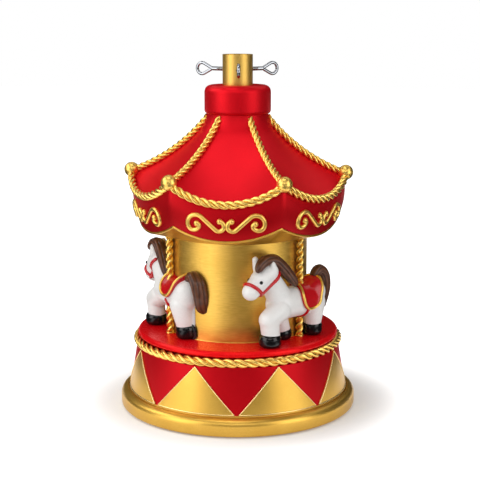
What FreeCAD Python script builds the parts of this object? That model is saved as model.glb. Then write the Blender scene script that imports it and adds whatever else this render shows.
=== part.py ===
import FreeCAD, Part
import math
import os
import re
from types import SimpleNamespace

import Sketcher

# Carousel tree stand: a plinth, a drum and a six-sided canopy, stacked on a steel tube for the tree's pole.
# The floor is at Z = 0, Z points up, and the front, the middle of one canopy panel, faces -Y.
# An angle round the stand is measured from the front towards +X.

# Driving dimensions, in millimetres and degrees
SIZES = {
    # small gaps between pieces that are glued or lie in a seat, and between pieces that run in each other
    "seat_gap": 0.15,
    "running_gap": 0.05,
    # pads, base plate and its screws
    "pad_height": 1.5,
    "pad_radius": 8,
    "pad_inset": 18,
    "plate_inset": 32,
    "plate_thickness": 3,
    "plate_recess": 1.5,
    "plate_gap": 0.4,
    "drain_radius": 5,
    "plate_screw_inset": 6,
    "plate_screw_radius": 2,
    "plate_screw_grip": 8,
    "plate_screw_head_radius": 4,
    "plate_screw_head_height": 1.4,
    # foot ring
    "foot_radius": 140,
    "foot_widest_level": 13.7,
    "foot_contact_inset": 4.5,
    "foot_shoulder_inset": 8.5,
    "foot_shoulder_drop": 1.5,
    "foot_height": 23,
    "flange_width": 13,
    "flange_thickness": 11,
    "lip_height": 8,
    "lip_width": 5,
    # plinth wall and its triangles
    "wall_inset": 11,
    "wall_taper": 10,
    "wall_height": 63,
    "wall_thickness": 9,
    "triangle_turn": 5.8,
    "triangle_relief": 1.1,
    "triangle_margin": 0.8,
    # deck and its rope
    "deck_overhang": 1.4,
    "deck_thickness": 7,
    "deck_edge": 3,
    "deck_lip_height": 6,
    "deck_lip_width": 6,
    "deck_rope_proud": 0.5,
    "deck_rope_diameter": 10.5,
    # drum, set in from the deck's edge
    "drum_inset": 38.4,
    "drum_thickness": 5,
    "drum_height": 114.5,
    "drum_seat": 2,
    # horse poles
    "pole_standoff": 5.3,
    "pole_turn": 1.5,
    "pole_diameter": 9,
    "pole_seat": 4,
    "pole_head_seat": 5,
    "pole_collar_radius": 5,
    "pole_collar_height": 2,
    # soffit; heights of the canopy are measured up from its underside, and its overhangs out from the drum
    "soffit_ledge": 12,
    "soffit_shoulder": 3,
    "soffit_flange_height": 9,
    "soffit_lip": 2.4,
    "soffit_spigot_height": 5,
    "soffit_spigot_width": 3.5,
    # canopy: lower edge of the valance, swag along the eave, roof
    "edge_middle_overhang": 30.6,
    "edge_middle_rise": 9.4,
    "edge_corner_overhang": 38,
    "edge_corner_rise": 24.1,
    "valance_bulge": 3.5,
    "valance_thickness": 3.5,
    "swag_middle_overhang": 37.5,
    "swag_middle_rise": 50.2,
    "swag_corner_overhang": 44.8,
    "swag_corner_rise": 71,
    "swag_diameter": 9.5,
    "swag_lean": 32,
    "rib_diameter": 8.4,
    "roof_top_radius": 34.5,
    "roof_top_drop": 7.3,
    "roof_sag_middle": 6,
    "roof_sag_corner": 7.5,
    "roof_thickness": 6,
    "ball_diameter": 17.5,
    "ball_overhang": 44,
    "ball_rise": 75.3,
    # scrolls on the valance
    "scroll_rise": 30,
    "scroll_unit": 1,
    "scroll_relief": 2.3,
    "scroll_width": 4.4,
    "scroll_bulb_radius": 2.9,
    # cap, neck, washer and lock nut
    "cap_rise": 139.3,
    "cap_radius": 38.7,
    "cap_height": 33.2,
    "cap_edge": 4.5,
    "cap_wall": 6,
    "cap_ceiling": 5,
    "neck_flange_radius": 38.4,
    "neck_flange_depth": 12,
    "neck_height": 10,
    "washer_radius": 30,
    "washer_thickness": 2.5,
    "nut_radius": 28.5,
    "nut_height": 9,
    # tube for the tree's pole, and the three screws that clamp it
    "tube_diameter": 35,
    "tube_bore": 29,
    "tube_gap": 0.3,
    "tube_rise": 35,
    "screw_turn": 7.5,
    "screw_drop": 17,
    "screw_diameter": 4.9,
    "screw_neck_reach": 33.5,
    "eye_reach": 56,
    "eye_ring_radius": 6.5,
    "eye_wire_diameter": 3.8,
    "tip_setback": 0.2,
    "tip_diameter": 4.4,
    "tip_head": 1,
    "tip_stem_diameter": 2.4,
    "tip_stem_length": 4.3,
    # horses
    "horse_headroom": 9.7,
    "hoof_height": 13.5,
    "saddle_thickness": 1.8,
    "drum_clearance": 0.3,
}

# How many of each piece go round the stand
PANELS = 6
TRIANGLES = 8
SCREWS = 3
PADS = 6

Vec = FreeCAD.Vector
UP = Vec(0, 0, 1)

doc = FreeCAD.newDocument("carousel_tree_stand")
sheet = doc.addObject("Spreadsheet::Sheet", "Sizes")
for row, (alias, value) in enumerate(SIZES.items(), start=1):
    sheet.set(f"A{row}", alias)
    sheet.set(f"B{row}", str(value))
    sheet.setAlias(f"B{row}", alias)
doc.recompute()
size = SimpleNamespace(**{alias: float(sheet.get(alias)) for alias in SIZES})

# Levels and radii that several pieces share, as expressions on the sheet
PAD_CIRCLE = "(foot_radius - pad_inset)"
PLATE_RADIUS = "(foot_radius - plate_inset)"
PLATE_SCREW_CIRCLE = f"({PLATE_RADIUS} - plate_screw_inset)"
FLANGE_RADIUS = f"({PLATE_RADIUS} - flange_width)"
WALL_BASE_RADIUS = "(foot_radius - wall_inset)"
WALL_TOP_RADIUS = f"({WALL_BASE_RADIUS} - wall_taper)"
DECK_RADIUS = f"({WALL_TOP_RADIUS} + deck_overhang)"
DECK_ROPE_CIRCLE = f"({WALL_TOP_RADIUS} + deck_rope_proud)"
DRUM_RADIUS = f"({DECK_RADIUS} - drum_inset)"
POLE_CIRCLE = f"({DRUM_RADIUS} + pole_standoff)"
PLATE_BASE = "(pad_height + plate_recess)"
PLATE_TOP = f"({PLATE_BASE} + plate_thickness)"
WALL_TOP = "(foot_height + wall_height)"
WALL_SLOPE = "(wall_taper / wall_height)"
LEDGE = f"({WALL_TOP} - deck_rope_diameter - 2 * seat_gap)"
DECK_TOP = f"({WALL_TOP} + deck_thickness)"
SOFFIT = f"({DECK_TOP} + drum_height)"
CAP_BASE = f"({SOFFIT} + cap_rise)"
CAP_TOP = f"({CAP_BASE} + cap_height)"
NECK_TOP = f"({CAP_BASE} + neck_height)"
NECK_RADIUS = "(cap_radius - cap_wall - seat_gap)"
TUBE_TOP = f"({CAP_TOP} + tube_rise)"
TUBE_HOLE = "(tube_diameter / 2 + tube_gap)"
LIP_RADIUS = f"({WALL_BASE_RADIUS} - wall_thickness - {WALL_SLOPE} * lip_height - seat_gap)"
DECK_LIP_RADIUS = f"({WALL_TOP_RADIUS} - wall_thickness - seat_gap)"

nodes = []


def bound(expression):
    """An expression on the sheet's names, written as another object of the document reads it."""
    def from_sheet(word):
        name = word.group(0)
        return "Sizes." + name if name in SIZES else name
    return re.sub(r"[a-z]\w+", from_sheet, expression)


def number(expression):
    """The value of an expression on the sheet's names."""
    return float(sheet.evalExpression(bound(expression)))


def node(piece, label):
    """Name a finished piece, and keep it for the export."""
    piece.Label = label
    nodes.append(piece)
    return piece


def solid_feature(name, shape, placement=None):
    """A document object around a shape that is built from curves and solids."""
    feature = doc.addObject("Part::Feature", name)
    feature.Shape = shape
    if placement:
        feature.Placement = placement
    return feature


def bound_object(kind, name, **expressions):
    """A primitive whose properties are expressions on the sheet."""
    piece = doc.addObject(kind, name)
    for prop, expression in expressions.items():
        piece.setExpression(prop, bound(expression))
    return piece


def cut(name, base, tool):
    piece = doc.addObject("Part::Cut", name)
    piece.Base = base
    piece.Tool = tool
    return piece


def group(name, pieces):
    piece = doc.addObject("Part::Compound", name)
    piece.Links = pieces
    return piece


def around(angle, radius, level):
    """A point at an angle round the stand."""
    turn = math.radians(angle)
    return Vec(radius * math.sin(turn), -radius * math.cos(turn), level)


def turned(angle):
    """The placement that turns a piece from the front to an angle round the stand."""
    return FreeCAD.Placement(Vec(0, 0, 0), FreeCAD.Rotation(UP, angle))


def turned_body(name, outline):
    """A body turned about Z. Each entry of the outline is a corner, as expressions for its radius and level.
    A third entry is a point that an arc passes through on its way to the next corner."""
    body = doc.addObject("PartDesign::Body", name)
    plane = next(f for f in body.Origin.OriginFeatures if f.Role == "XZ_Plane")
    sketch = body.newObject("Sketcher::SketchObject", name + "_outline")
    sketch.AttachmentSupport = [(plane, "")]
    sketch.MapMode = "FlatFace"

    def pin(geometry, end, corner):
        for kind, expression in zip(("DistanceX", "DistanceY"), corner):
            index = sketch.addConstraint(Sketcher.Constraint(kind, -1, 1, geometry, end, number(expression)))
            sketch.setExpression(f"Constraints[{index}]", bound(expression))

    def spot(corner):
        return Vec(number(corner[0]), number(corner[1]), 0)

    starts = []
    for place, entry in enumerate(outline):
        first = spot(entry[:2])
        last = spot(outline[(place + 1) % len(outline)][:2])
        if len(entry) == 2:
            edge = sketch.addGeometry(Part.LineSegment(first, last))
            starts.append((edge, 1, 2))
        else:
            middle = spot(entry[2])
            centre = Part.Arc(first, middle, last).toShape().Curve.Center
            circle = Part.Circle(centre, Vec(0, 0, 1), (first - centre).Length)
            angles = [math.atan2(point.y - centre.y, point.x - centre.x) for point in (first, middle, last)]
            rises = (angles[1] - angles[0]) % (2 * math.pi) < (angles[2] - angles[0]) % (2 * math.pi)
            low, high = (angles[0], angles[2]) if rises else (angles[2], angles[0])
            edge = sketch.addGeometry(Part.ArcOfCircle(circle, low, high))
            starts.append((edge, 1, 2) if rises else (edge, 2, 1))
            point = sketch.addGeometry(Part.Point(middle), True)
            pin(point, 1, entry[2])
            sketch.addConstraint(Sketcher.Constraint("PointOnObject", point, 1, edge))
    for place, entry in enumerate(outline):
        edge, start, end = starts[place]
        next_edge, next_start, next_end = starts[(place + 1) % len(outline)]
        sketch.addConstraint(Sketcher.Constraint("Coincident", edge, end, next_edge, next_start))
        pin(edge, start, entry[:2])
    turn = body.newObject("PartDesign::Revolution", name + "_turn")
    turn.Profile = sketch
    turn.ReferenceAxis = (sketch, ["V_Axis"])
    turn.Angle = 360
    return body


def rounded(face_level, rim_radius, rim_level, edge):
    """The middle of a quarter round from a flat face to an upright rim."""
    reach = f"({edge}) * (1 - sqrt(0.5))"
    way = "+" if number(face_level) < number(rim_level) else "-"
    return (f"({rim_radius}) - {reach}", f"({face_level}) {way} {reach}")


def round_of(count, first_angle=0):
    """The angles of like pieces spaced evenly round the stand."""
    return [first_angle + 360 / count * place for place in range(count)]


def pegs(name, angles, circle, radius, base, height):
    """Upright cylinders on a circle, as one group: holes to cut, or pieces to keep."""
    pins = []
    for place, angle in enumerate(angles, start=1):
        peg = bound_object("Part::Cylinder", f"{name}_{place}", Radius=radius, Height=height)
        peg.Placement.Base = around(angle, number(circle), number(base))
        pins.append(peg)
    return group(name, pins)


POLE_ANGLES = [angle + size.pole_turn for angle in (60, 180, -60)]
PAD_ANGLES = round_of(PADS, 30)
PLATE_SCREW_ANGLES = round_of(PADS)
SCREW_ANGLES = round_of(SCREWS, size.screw_turn)
PANEL_ANGLES = round_of(PANELS)
CORNER_ANGLES = round_of(PANELS, 180 / PANELS)

# Foot pads and base plate: rubber pads under the foot ring, and the steel disc that the tube is welded to
node(pegs("pad", PAD_ANGLES, PAD_CIRCLE, "pad_radius", "0", "pad_height"), "foot_pads")

disc = turned_body("plate_disc", [
    ("drain_radius", PLATE_BASE),
    (PLATE_RADIUS, PLATE_BASE),
    (PLATE_RADIUS, PLATE_TOP),
    ("drain_radius", PLATE_TOP),
])
plate_holes = pegs("plate_hole", PLATE_SCREW_ANGLES, PLATE_SCREW_CIRCLE,
                   "plate_screw_radius + seat_gap", PLATE_BASE, "plate_thickness")
node(cut("plate", disc, plate_holes), "base_plate")

# Screws that hold the base plate up against the foot ring's flange
shanks = pegs("plate_screw_shank", PLATE_SCREW_ANGLES, PLATE_SCREW_CIRCLE,
              "plate_screw_radius", PLATE_BASE, "plate_thickness + plate_screw_grip")
heads = pegs("plate_screw_head", PLATE_SCREW_ANGLES, PLATE_SCREW_CIRCLE,
             "plate_screw_head_radius", f"{PLATE_BASE} - plate_screw_head_height", "plate_screw_head_height")
screws = []
for shank, head in zip(shanks.Links, heads.Links):
    screw = doc.addObject("Part::Fuse", "plate_screw")
    screw.Base = shank
    screw.Tool = head
    screws.append(screw)
node(group("plate_screw_set", screws), "base_plate_screws")

# Foot ring: a bullnose moulding with a flange for the base plate and a lip that centres the plinth wall
ring = turned_body("foot_moulding", [
    (f"{PLATE_RADIUS} + plate_gap", "pad_height"),
    ("foot_radius - foot_contact_inset", "pad_height", ("foot_radius", "foot_widest_level")),
    ("foot_radius - foot_shoulder_inset", "foot_height - foot_shoulder_drop"),
    (f"{WALL_BASE_RADIUS} + triangle_relief", "foot_height"),
    (LIP_RADIUS, "foot_height"),
    (LIP_RADIUS, "foot_height + lip_height"),
    (f"{LIP_RADIUS} - lip_width", "foot_height + lip_height"),
    (f"{LIP_RADIUS} - lip_width", f"{PLATE_TOP} + flange_thickness"),
    (FLANGE_RADIUS, f"{PLATE_TOP} + flange_thickness"),
    (FLANGE_RADIUS, PLATE_TOP),
    (f"{PLATE_RADIUS} + plate_gap", PLATE_TOP),
])
flange_holes = pegs("flange_hole", PLATE_SCREW_ANGLES, PLATE_SCREW_CIRCLE,
                    "plate_screw_radius + seat_gap", PLATE_TOP, "plate_screw_grip + seat_gap")
node(cut("foot", ring, flange_holes), "foot_ring")

# Plinth wall: a conical casting with a ledge for the deck rope
node(turned_body("plinth_cone", [
    (f"{WALL_BASE_RADIUS} - wall_thickness", "foot_height"),
    (WALL_BASE_RADIUS, "foot_height"),
    (f"{WALL_BASE_RADIUS} - {WALL_SLOPE} * ({LEDGE} - foot_height)", LEDGE),
    (f"{DECK_ROPE_CIRCLE} - deck_rope_diameter / 2 - seat_gap", LEDGE),
    (f"{DECK_ROPE_CIRCLE} - deck_rope_diameter / 2 - seat_gap", WALL_TOP),
    (f"{WALL_TOP_RADIUS} - wall_thickness", WALL_TOP),
]), "plinth_wall")


def plinth_cone(offset):
    """The cone of the plinth wall's face, grown by an offset."""
    base = number(WALL_BASE_RADIUS) + offset
    top = number(WALL_TOP_RADIUS) + offset
    return Part.makeCone(base, top, size.wall_height, Vec(0, 0, size.foot_height))


# Raised triangles: eight thin castings glued on the wall, apex up, whose bases meet corner to corner
triangle_skin = plinth_cone(size.triangle_relief).cut(plinth_cone(size.seat_gap / 2))
triangle_base = size.foot_height + size.triangle_margin
triangle_apex = number(LEDGE) - size.triangle_margin
triangle_reach = number(WALL_BASE_RADIUS) * math.sin(math.pi / TRIANGLES) - size.triangle_margin
triangle = Part.Face(Part.makePolygon([
    Vec(-triangle_reach, 0, triangle_base),
    Vec(triangle_reach, 0, triangle_base),
    Vec(0, 0, triangle_apex),
    Vec(-triangle_reach, 0, triangle_base),
]))
triangle_block = triangle.extrude(Vec(0, -size.foot_radius, 0))
triangle_plate = triangle_skin.common(triangle_block).Solids[0]
triangles = []
for angle in round_of(TRIANGLES, size.triangle_turn + 180 / TRIANGLES):
    triangles.append(solid_feature("triangle", triangle_plate, turned(angle)))
node(group("triangle_set", triangles), "gold_triangles")

# Deck rope: a ring under the deck's edge
rope = bound_object("Part::Torus", "deck_rope_ring",
                    Radius1=DECK_ROPE_CIRCLE, Radius2="deck_rope_diameter / 2")
rope.Placement.Base = UP * number(f"{WALL_TOP} - deck_rope_diameter / 2 - seat_gap")
node(rope, "deck_rope")

# Deck plate: a disc with a rounded edge and a lip inside the wall, grooved for the drum and the poles
deck_rim = f"{DECK_RADIUS} - deck_edge"
deck_low = f"{WALL_TOP} + deck_edge"
deck_high = f"{DECK_TOP} - deck_edge"
disc = turned_body("deck_disc", [
    (TUBE_HOLE, WALL_TOP),
    (f"{DECK_LIP_RADIUS} - deck_lip_width", WALL_TOP),
    (f"{DECK_LIP_RADIUS} - deck_lip_width", f"{WALL_TOP} - deck_lip_height"),
    (DECK_LIP_RADIUS, f"{WALL_TOP} - deck_lip_height"),
    (DECK_LIP_RADIUS, WALL_TOP),
    (deck_rim, WALL_TOP, rounded(WALL_TOP, DECK_RADIUS, deck_low, "deck_edge")),
    (DECK_RADIUS, deck_low),
    (DECK_RADIUS, deck_high, rounded(DECK_TOP, DECK_RADIUS, deck_high, "deck_edge")),
    (deck_rim, DECK_TOP),
    (f"{DRUM_RADIUS} + seat_gap", DECK_TOP),
    (f"{DRUM_RADIUS} + seat_gap", f"{DECK_TOP} - drum_seat"),
    (f"{DRUM_RADIUS} - drum_thickness - seat_gap", f"{DECK_TOP} - drum_seat"),
    (f"{DRUM_RADIUS} - drum_thickness - seat_gap", DECK_TOP),
    (TUBE_HOLE, DECK_TOP),
])
deck_sockets = pegs("deck_socket", POLE_ANGLES, POLE_CIRCLE,
                    "pole_diameter / 2 + seat_gap", f"{DECK_TOP} - pole_seat", "pole_seat")
node(cut("deck", disc, deck_sockets), "deck_plate")

# Drum wall: a plain shell let into the deck and the soffit
node(turned_body("drum_shell", [
    (f"{DRUM_RADIUS} - drum_thickness", f"{DECK_TOP} - drum_seat"),
    (DRUM_RADIUS, f"{DECK_TOP} - drum_seat"),
    (DRUM_RADIUS, f"{SOFFIT} + drum_seat"),
    (f"{DRUM_RADIUS} - drum_thickness", f"{SOFFIT} + drum_seat"),
]), "drum_wall")

# Horse poles: rods with a collar, standing in the deck's sockets and reaching into the soffit
pole_circle = number(POLE_CIRCLE)
for place, angle in enumerate(POLE_ANGLES, start=1):
    rod = bound_object("Part::Cylinder", "pole_rod", Radius="pole_diameter / 2",
                       Height="pole_seat + drum_height + pole_head_seat")
    rod.Placement.Base = around(angle, pole_circle, number(f"{DECK_TOP} - pole_seat"))
    collar = bound_object("Part::Cylinder", "pole_collar",
                          Radius="pole_collar_radius", Height="pole_collar_height")
    collar.Placement.Base = around(angle, pole_circle, number(DECK_TOP))
    pole = doc.addObject("Part::Fuse", "pole")
    pole.Base = rod
    pole.Tool = collar
    node(pole, f"horse_pole_{place}")

# Canopy lines: two arcs that hang between the corners of each panel, the valance's edge and the swag
HALF_PANEL = 180 / PANELS
SETTLING_STEPS = 30
SECTION_ANGLES = [HALF_PANEL * step / 3 for step in range(-3, 4)]
soffit_level = number(SOFFIT)
drum_radius = number(DRUM_RADIUS)


def hanging(middle, corner, angle):
    """Radius, level and nearness to the panel's middle (0 to 1) where a hanging arc crosses an angle."""
    half_turn = math.radians(HALF_PANEL)
    half_chord = corner[0] * math.sin(half_turn)
    chord_reach = corner[0] * math.cos(half_turn)
    out = middle[0] - chord_reach
    drop = middle[1] - corner[1]
    sag = math.hypot(out, drop)
    arc_radius = (half_chord ** 2 + sag ** 2) / (2 * sag)
    reach = middle[0]
    for step in range(SETTLING_STEPS):
        across = reach * math.tan(math.radians(angle))
        share = (math.sqrt(arc_radius ** 2 - across ** 2) - arc_radius + sag) / sag
        reach = chord_reach + share * out
    return math.hypot(reach, across), corner[1] + share * drop, share


def edge_at(angle):
    return hanging((drum_radius + size.edge_middle_overhang, soffit_level + size.edge_middle_rise),
                   (drum_radius + size.edge_corner_overhang, soffit_level + size.edge_corner_rise), angle)


def swag_at(angle):
    return hanging((drum_radius + size.swag_middle_overhang, soffit_level + size.swag_middle_rise),
                   (drum_radius + size.swag_corner_overhang, soffit_level + size.swag_corner_rise), angle)


def eave_at(angle):
    """The shell's edge under the swag, which rests on it."""
    radius, level, share = swag_at(angle)
    seat = size.swag_diameter / 2 + size.seat_gap
    lean = math.radians(size.swag_lean)
    return radius - seat * math.cos(lean), level - seat * math.sin(lean), share


def bowed(first, last, bulge):
    """The middle point of an arc between two points; a positive bulge goes to the left of the way."""
    across = last[0] - first[0]
    up = last[1] - first[1]
    length = math.hypot(across, up)
    middle = ((first[0] + last[0]) / 2, (first[1] + last[1]) / 2)
    return middle[0] - bulge * up / length, middle[1] + bulge * across / length


def radial_wire(angle, outline):
    """A closed wire in the upright plane at an angle; a third entry is the middle point of an arc."""
    edges = []
    for place, entry in enumerate(outline):
        first = around(angle, *entry[:2])
        last = around(angle, *outline[(place + 1) % len(outline)][:2])
        if len(entry) == 2:
            edges.append(Part.LineSegment(first, last).toShape())
        else:
            edges.append(Part.Arc(first, around(angle, *entry[2]), last).toShape())
    return Part.Wire(edges)


def panel_solid(outline_at):
    """One sixth of a ring, lofted through its outlines from corner to corner of a panel."""
    return Part.makeLoft([radial_wire(angle, outline_at(angle)) for angle in SECTION_ANGLES], True, False)


def six_panels(outline_at):
    """Six lofted panels joined in one ring, with a crease at each corner."""
    panel = panel_solid(outline_at)
    panels = []
    for angle in PANEL_ANGLES:
        copy = panel.copy()
        copy.Placement = turned(angle)
        panels.append(copy)
    return panels[0].multiFuse(panels[1:])


soffit_bore = drum_radius - size.soffit_ledge


def soffit_outline(angle):
    radius, level, share = edge_at(angle)
    lip_level = level - size.seat_gap
    spigot_radius = radius - size.valance_thickness - size.seat_gap
    return [
        (soffit_bore, soffit_level),
        (drum_radius + size.soffit_shoulder, soffit_level),
        (radius - size.soffit_lip / 2, lip_level - size.soffit_lip),
        (radius, lip_level),
        (spigot_radius, lip_level),
        (spigot_radius, lip_level + size.soffit_spigot_height),
        (spigot_radius - size.soffit_spigot_width, lip_level + size.soffit_spigot_height),
        (soffit_bore, soffit_level + size.soffit_flange_height),
    ]


def roof_line(angle):
    """The roof's outer line: its top, its middle and the eave."""
    radius, level, share = eave_at(angle)
    top = (size.roof_top_radius, number(CAP_BASE) - size.roof_top_drop)
    eave = (radius, level)
    sag = size.roof_sag_corner + share * (size.roof_sag_middle - size.roof_sag_corner)
    return top, bowed(top, eave, -sag), eave, sag


def canopy_outline(angle):
    top, roof_middle, eave, sag = roof_line(angle)
    edge = edge_at(angle)[:2]
    inner_edge = (edge[0] - size.valance_thickness, edge[1])
    inner_eave = (eave[0] - size.roof_thickness, eave[1] - size.roof_thickness)
    inner_top = (top[0] - size.roof_thickness, top[1] - size.roof_thickness)
    return [
        (*top, roof_middle),
        (*eave, bowed(eave, edge, size.valance_bulge)),
        edge,
        (*inner_edge, bowed(inner_edge, inner_eave, -size.valance_bulge)),
        (*inner_eave, bowed(inner_eave, inner_top, sag)),
        inner_top,
    ]


def valance_skin(angle):
    """A skin just off the valance's face, which gives the scrolls their curve."""
    eave = eave_at(angle)[:2]
    edge = edge_at(angle)[:2]
    low, high = size.seat_gap, size.scroll_relief
    face = [(eave[0] + low, eave[1]), (edge[0] + low, edge[1])]
    front = [(edge[0] + high, edge[1]), (eave[0] + high, eave[1])]
    return [
        (*face[0], bowed(face[0], face[1], size.valance_bulge)),
        face[1],
        (*front[0], bowed(front[0], front[1], -size.valance_bulge)),
        front[1],
    ]


def rope_along(first, middle, last, diameter):
    """A round rope along the arc through three points."""
    edge = Part.Arc(first, middle, last).toShape()
    section = Part.Face(Part.Wire(Part.makeCircle(diameter / 2, first, edge.tangentAt(edge.FirstParameter))))
    return section.revolve(edge.Curve.Center, edge.Curve.Axis, math.degrees(edge.Length / edge.Curve.Radius))


# Soffit: the gold underside, with a lip that the valance stands on and a groove for the drum
soffit_ring = six_panels(soffit_outline)
groove_outer = drum_radius + size.seat_gap
groove_inner = drum_radius - size.drum_thickness - size.seat_gap
drum_groove = Part.makeCylinder(groove_outer, size.drum_seat, UP * soffit_level).cut(
    Part.makeCylinder(groove_inner, size.drum_seat, UP * soffit_level))
socket_radius = size.pole_diameter / 2 + size.seat_gap
socket_depth = size.pole_seat + size.pole_head_seat + size.seat_gap
soffit_sockets = []
for angle in POLE_ANGLES:
    socket_base = around(angle, pole_circle, soffit_level - size.pole_seat)
    soffit_sockets.append(Part.makeCylinder(socket_radius, socket_depth, socket_base))
node(solid_feature("soffit_ring", soffit_ring.cut([drum_groove, *soffit_sockets]).removeSplitter()), "soffit")

# Canopy shell: the roof, its valance and the neck under the cap, with seats for the balls and the swags
neck_base = number(CAP_BASE) - size.neck_flange_depth
neck_flange = Part.makeCylinder(size.neck_flange_radius, size.neck_flange_depth, UP * neck_base)
neck = Part.makeCylinder(number(NECK_RADIUS), size.neck_flange_depth + size.neck_height, UP * neck_base)
neck_bore = Part.makeCylinder(number(TUBE_HOLE), size.neck_flange_depth + size.neck_height, UP * neck_base)
ball_radius = size.ball_diameter / 2
ball_circle = drum_radius + size.ball_overhang
ball_seats = []
for angle in CORNER_ANGLES:
    ball_centre = around(angle, ball_circle, soffit_level + size.ball_rise)
    ball_seats.append(Part.makeSphere(ball_radius + size.seat_gap, ball_centre))
swag_ends = [around(angle, *swag_at(angle)[:2]) for angle in (-HALF_PANEL, 0, HALF_PANEL)]
swag_grooves = []
for angle in PANEL_ANGLES:
    groove = rope_along(*swag_ends, size.swag_diameter + 2 * size.seat_gap)
    groove.Placement = turned(angle).multiply(groove.Placement)
    swag_grooves.append(groove)
shell = six_panels(canopy_outline).fuse([neck_flange, neck]).cut([neck_bore, *ball_seats, *swag_grooves])
node(solid_feature("shell", shell.removeSplitter()), "canopy_shell")

# Corner balls
balls = []
for angle in CORNER_ANGLES:
    ball = bound_object("Part::Sphere", "ball", Radius="ball_diameter / 2")
    ball.Placement.Base = around(angle, ball_circle, soffit_level + size.ball_rise)
    balls.append(ball)
node(group("ball_set", balls), "corner_balls")

# Swag ropes: one along each eave, from ball to ball, mitred where two of them meet behind a ball
front_seats = [ball_seats[0], ball_seats[-1]]
wedge_reach = 2 * size.foot_radius
front_wedge = Part.Face(Part.makePolygon([
    around(0, size.seat_gap, 0),
    around(HALF_PANEL, wedge_reach, 0),
    around(-HALF_PANEL, wedge_reach, 0),
    around(0, size.seat_gap, 0),
])).extrude(UP * number(TUBE_TOP))
swag = rope_along(*swag_ends, size.swag_diameter).cut(front_seats).common(front_wedge)
swag = max(swag.Solids, key=lambda solid: solid.Volume)
for place, angle in enumerate(PANEL_ANGLES, start=1):
    node(solid_feature("swag", swag, turned(angle)), f"swag_rope_{place}")

# Rib ropes: one down each ridge of the roof, from under the cap to the ball
ridge_top, ridge_middle, ridge_eave, ridge_sag = roof_line(HALF_PANEL)
ridge = Part.Arc(*(around(0, *point) for point in (ridge_top, ridge_middle, ridge_eave))).toShape().Curve
lift = size.rib_diameter / 2 + size.seat_gap
rib_points = []
for point in (ridge_top, ridge_middle, ridge_eave):
    towards = (ridge.Center - around(0, *point)).normalize()
    rib_points.append(around(0, *point) + towards * lift)
rib_keep_out = [
    Part.makeSphere(ball_radius + size.seat_gap, around(0, ball_circle, soffit_level + size.ball_rise)),
    Part.makeCylinder(size.neck_flange_radius + size.seat_gap, size.cap_height, UP * neck_base),
    Part.makeCylinder(size.foot_radius, size.cap_height, UP * (number(CAP_BASE) - size.seat_gap)),
]
rib = rope_along(*rib_points, size.rib_diameter).cut(rib_keep_out)
rib = max(rib.Solids, key=lambda solid: solid.Volume)
for place, angle in enumerate(CORNER_ANGLES, start=1):
    node(solid_feature("rib", rib, turned(angle)), f"rib_rope_{place}")

# Scrolls: on each panel a pair of mirrored S-scrolls, drawn flat and then given the valance's curve.
# One half is a hook by the middle, a straight run up, and a wide turn that winds in to a bulb.
hook_centre, hook_radius = (7.5 * size.scroll_unit, -3.4 * size.scroll_unit), 5.6 * size.scroll_unit
crown_centre, crown_radius = (33 * size.scroll_unit, -0.2 * size.scroll_unit), 9.2 * size.scroll_unit
bend_radius, curl_radius = 6.2 * size.scroll_unit, 2.6 * size.scroll_unit
hook_start, crown_end, bend_end, curl_end = 100, -35, -160, -270
scroll_level = soffit_level + size.scroll_rise
scroll_back = edge_at(HALF_PANEL)[0] * math.cos(math.radians(HALF_PANEL)) / 2


def on_circle(centre, radius, angle):
    turn = math.radians(angle)
    return centre[0] + radius * math.cos(turn), centre[1] + radius * math.sin(turn)


def scroll_bar(first, second):
    """A straight block of the scroll between two points of its middle line."""
    along = Vec(second[0] - first[0], 0, second[1] - first[1])
    side = along.cross(Vec(0, 1, 0)).normalize() * (size.scroll_width / 2)
    start = Vec(first[0], -scroll_back, scroll_level + first[1])
    corners = [start + side, start + along + side, start + along - side, start - side, start + side]
    return Part.Face(Part.makePolygon(corners)).extrude(Vec(0, -scroll_back * 2, 0))


def scroll_turn(centre, radius, start, end):
    """A block of the scroll that follows an arc of its middle line."""
    low, high = radius - size.scroll_width / 2, radius + size.scroll_width / 2
    middle = Vec(centre[0], -scroll_back, scroll_level + centre[1])
    out = Vec(math.cos(math.radians(start)), 0, math.sin(math.radians(start)))
    back = Vec(0, -scroll_back * 2, 0)
    corners = [middle + out * low, middle + out * high, middle + out * high + back, middle + out * low + back]
    section = Part.Face(Part.makePolygon([*corners, corners[0]]))
    return section.revolve(middle, Vec(0, -1, 0), end - start)


def scroll_bulb(point):
    base = Vec(point[0], -scroll_back, scroll_level + point[1])
    return Part.makeCylinder(size.scroll_bulb_radius, scroll_back * 2, base, Vec(0, -1, 0))


between = (crown_centre[0] - hook_centre[0], crown_centre[1] - hook_centre[1])
slant = math.degrees(math.atan2(between[1], between[0]))
lean = math.degrees(math.acos((hook_radius + crown_radius) / math.hypot(*between)))
run_start, run_end = slant - lean, slant - lean + 180
bend_centre = on_circle(crown_centre, crown_radius - bend_radius, crown_end)
curl_centre = on_circle(bend_centre, bend_radius - curl_radius, bend_end)
half_scroll = [
    scroll_bulb(on_circle(hook_centre, hook_radius, hook_start)),
    scroll_turn(hook_centre, hook_radius, hook_start, run_start + 360),
    scroll_bar(on_circle(hook_centre, hook_radius, run_start),
               on_circle(crown_centre, crown_radius, run_end)),
    scroll_turn(crown_centre, crown_radius, run_end, crown_end),
    scroll_turn(bend_centre, bend_radius, crown_end, bend_end),
    scroll_turn(curl_centre, curl_radius, bend_end, curl_end),
    scroll_bulb(on_circle(curl_centre, curl_radius, curl_end)),
]
right_scroll = half_scroll[0].multiFuse(half_scroll[1:])
left_scroll = right_scroll.mirror(Vec(0, 0, 0), Vec(1, 0, 0))
scroll = panel_solid(valance_skin).common(right_scroll.fuse(left_scroll))
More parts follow.
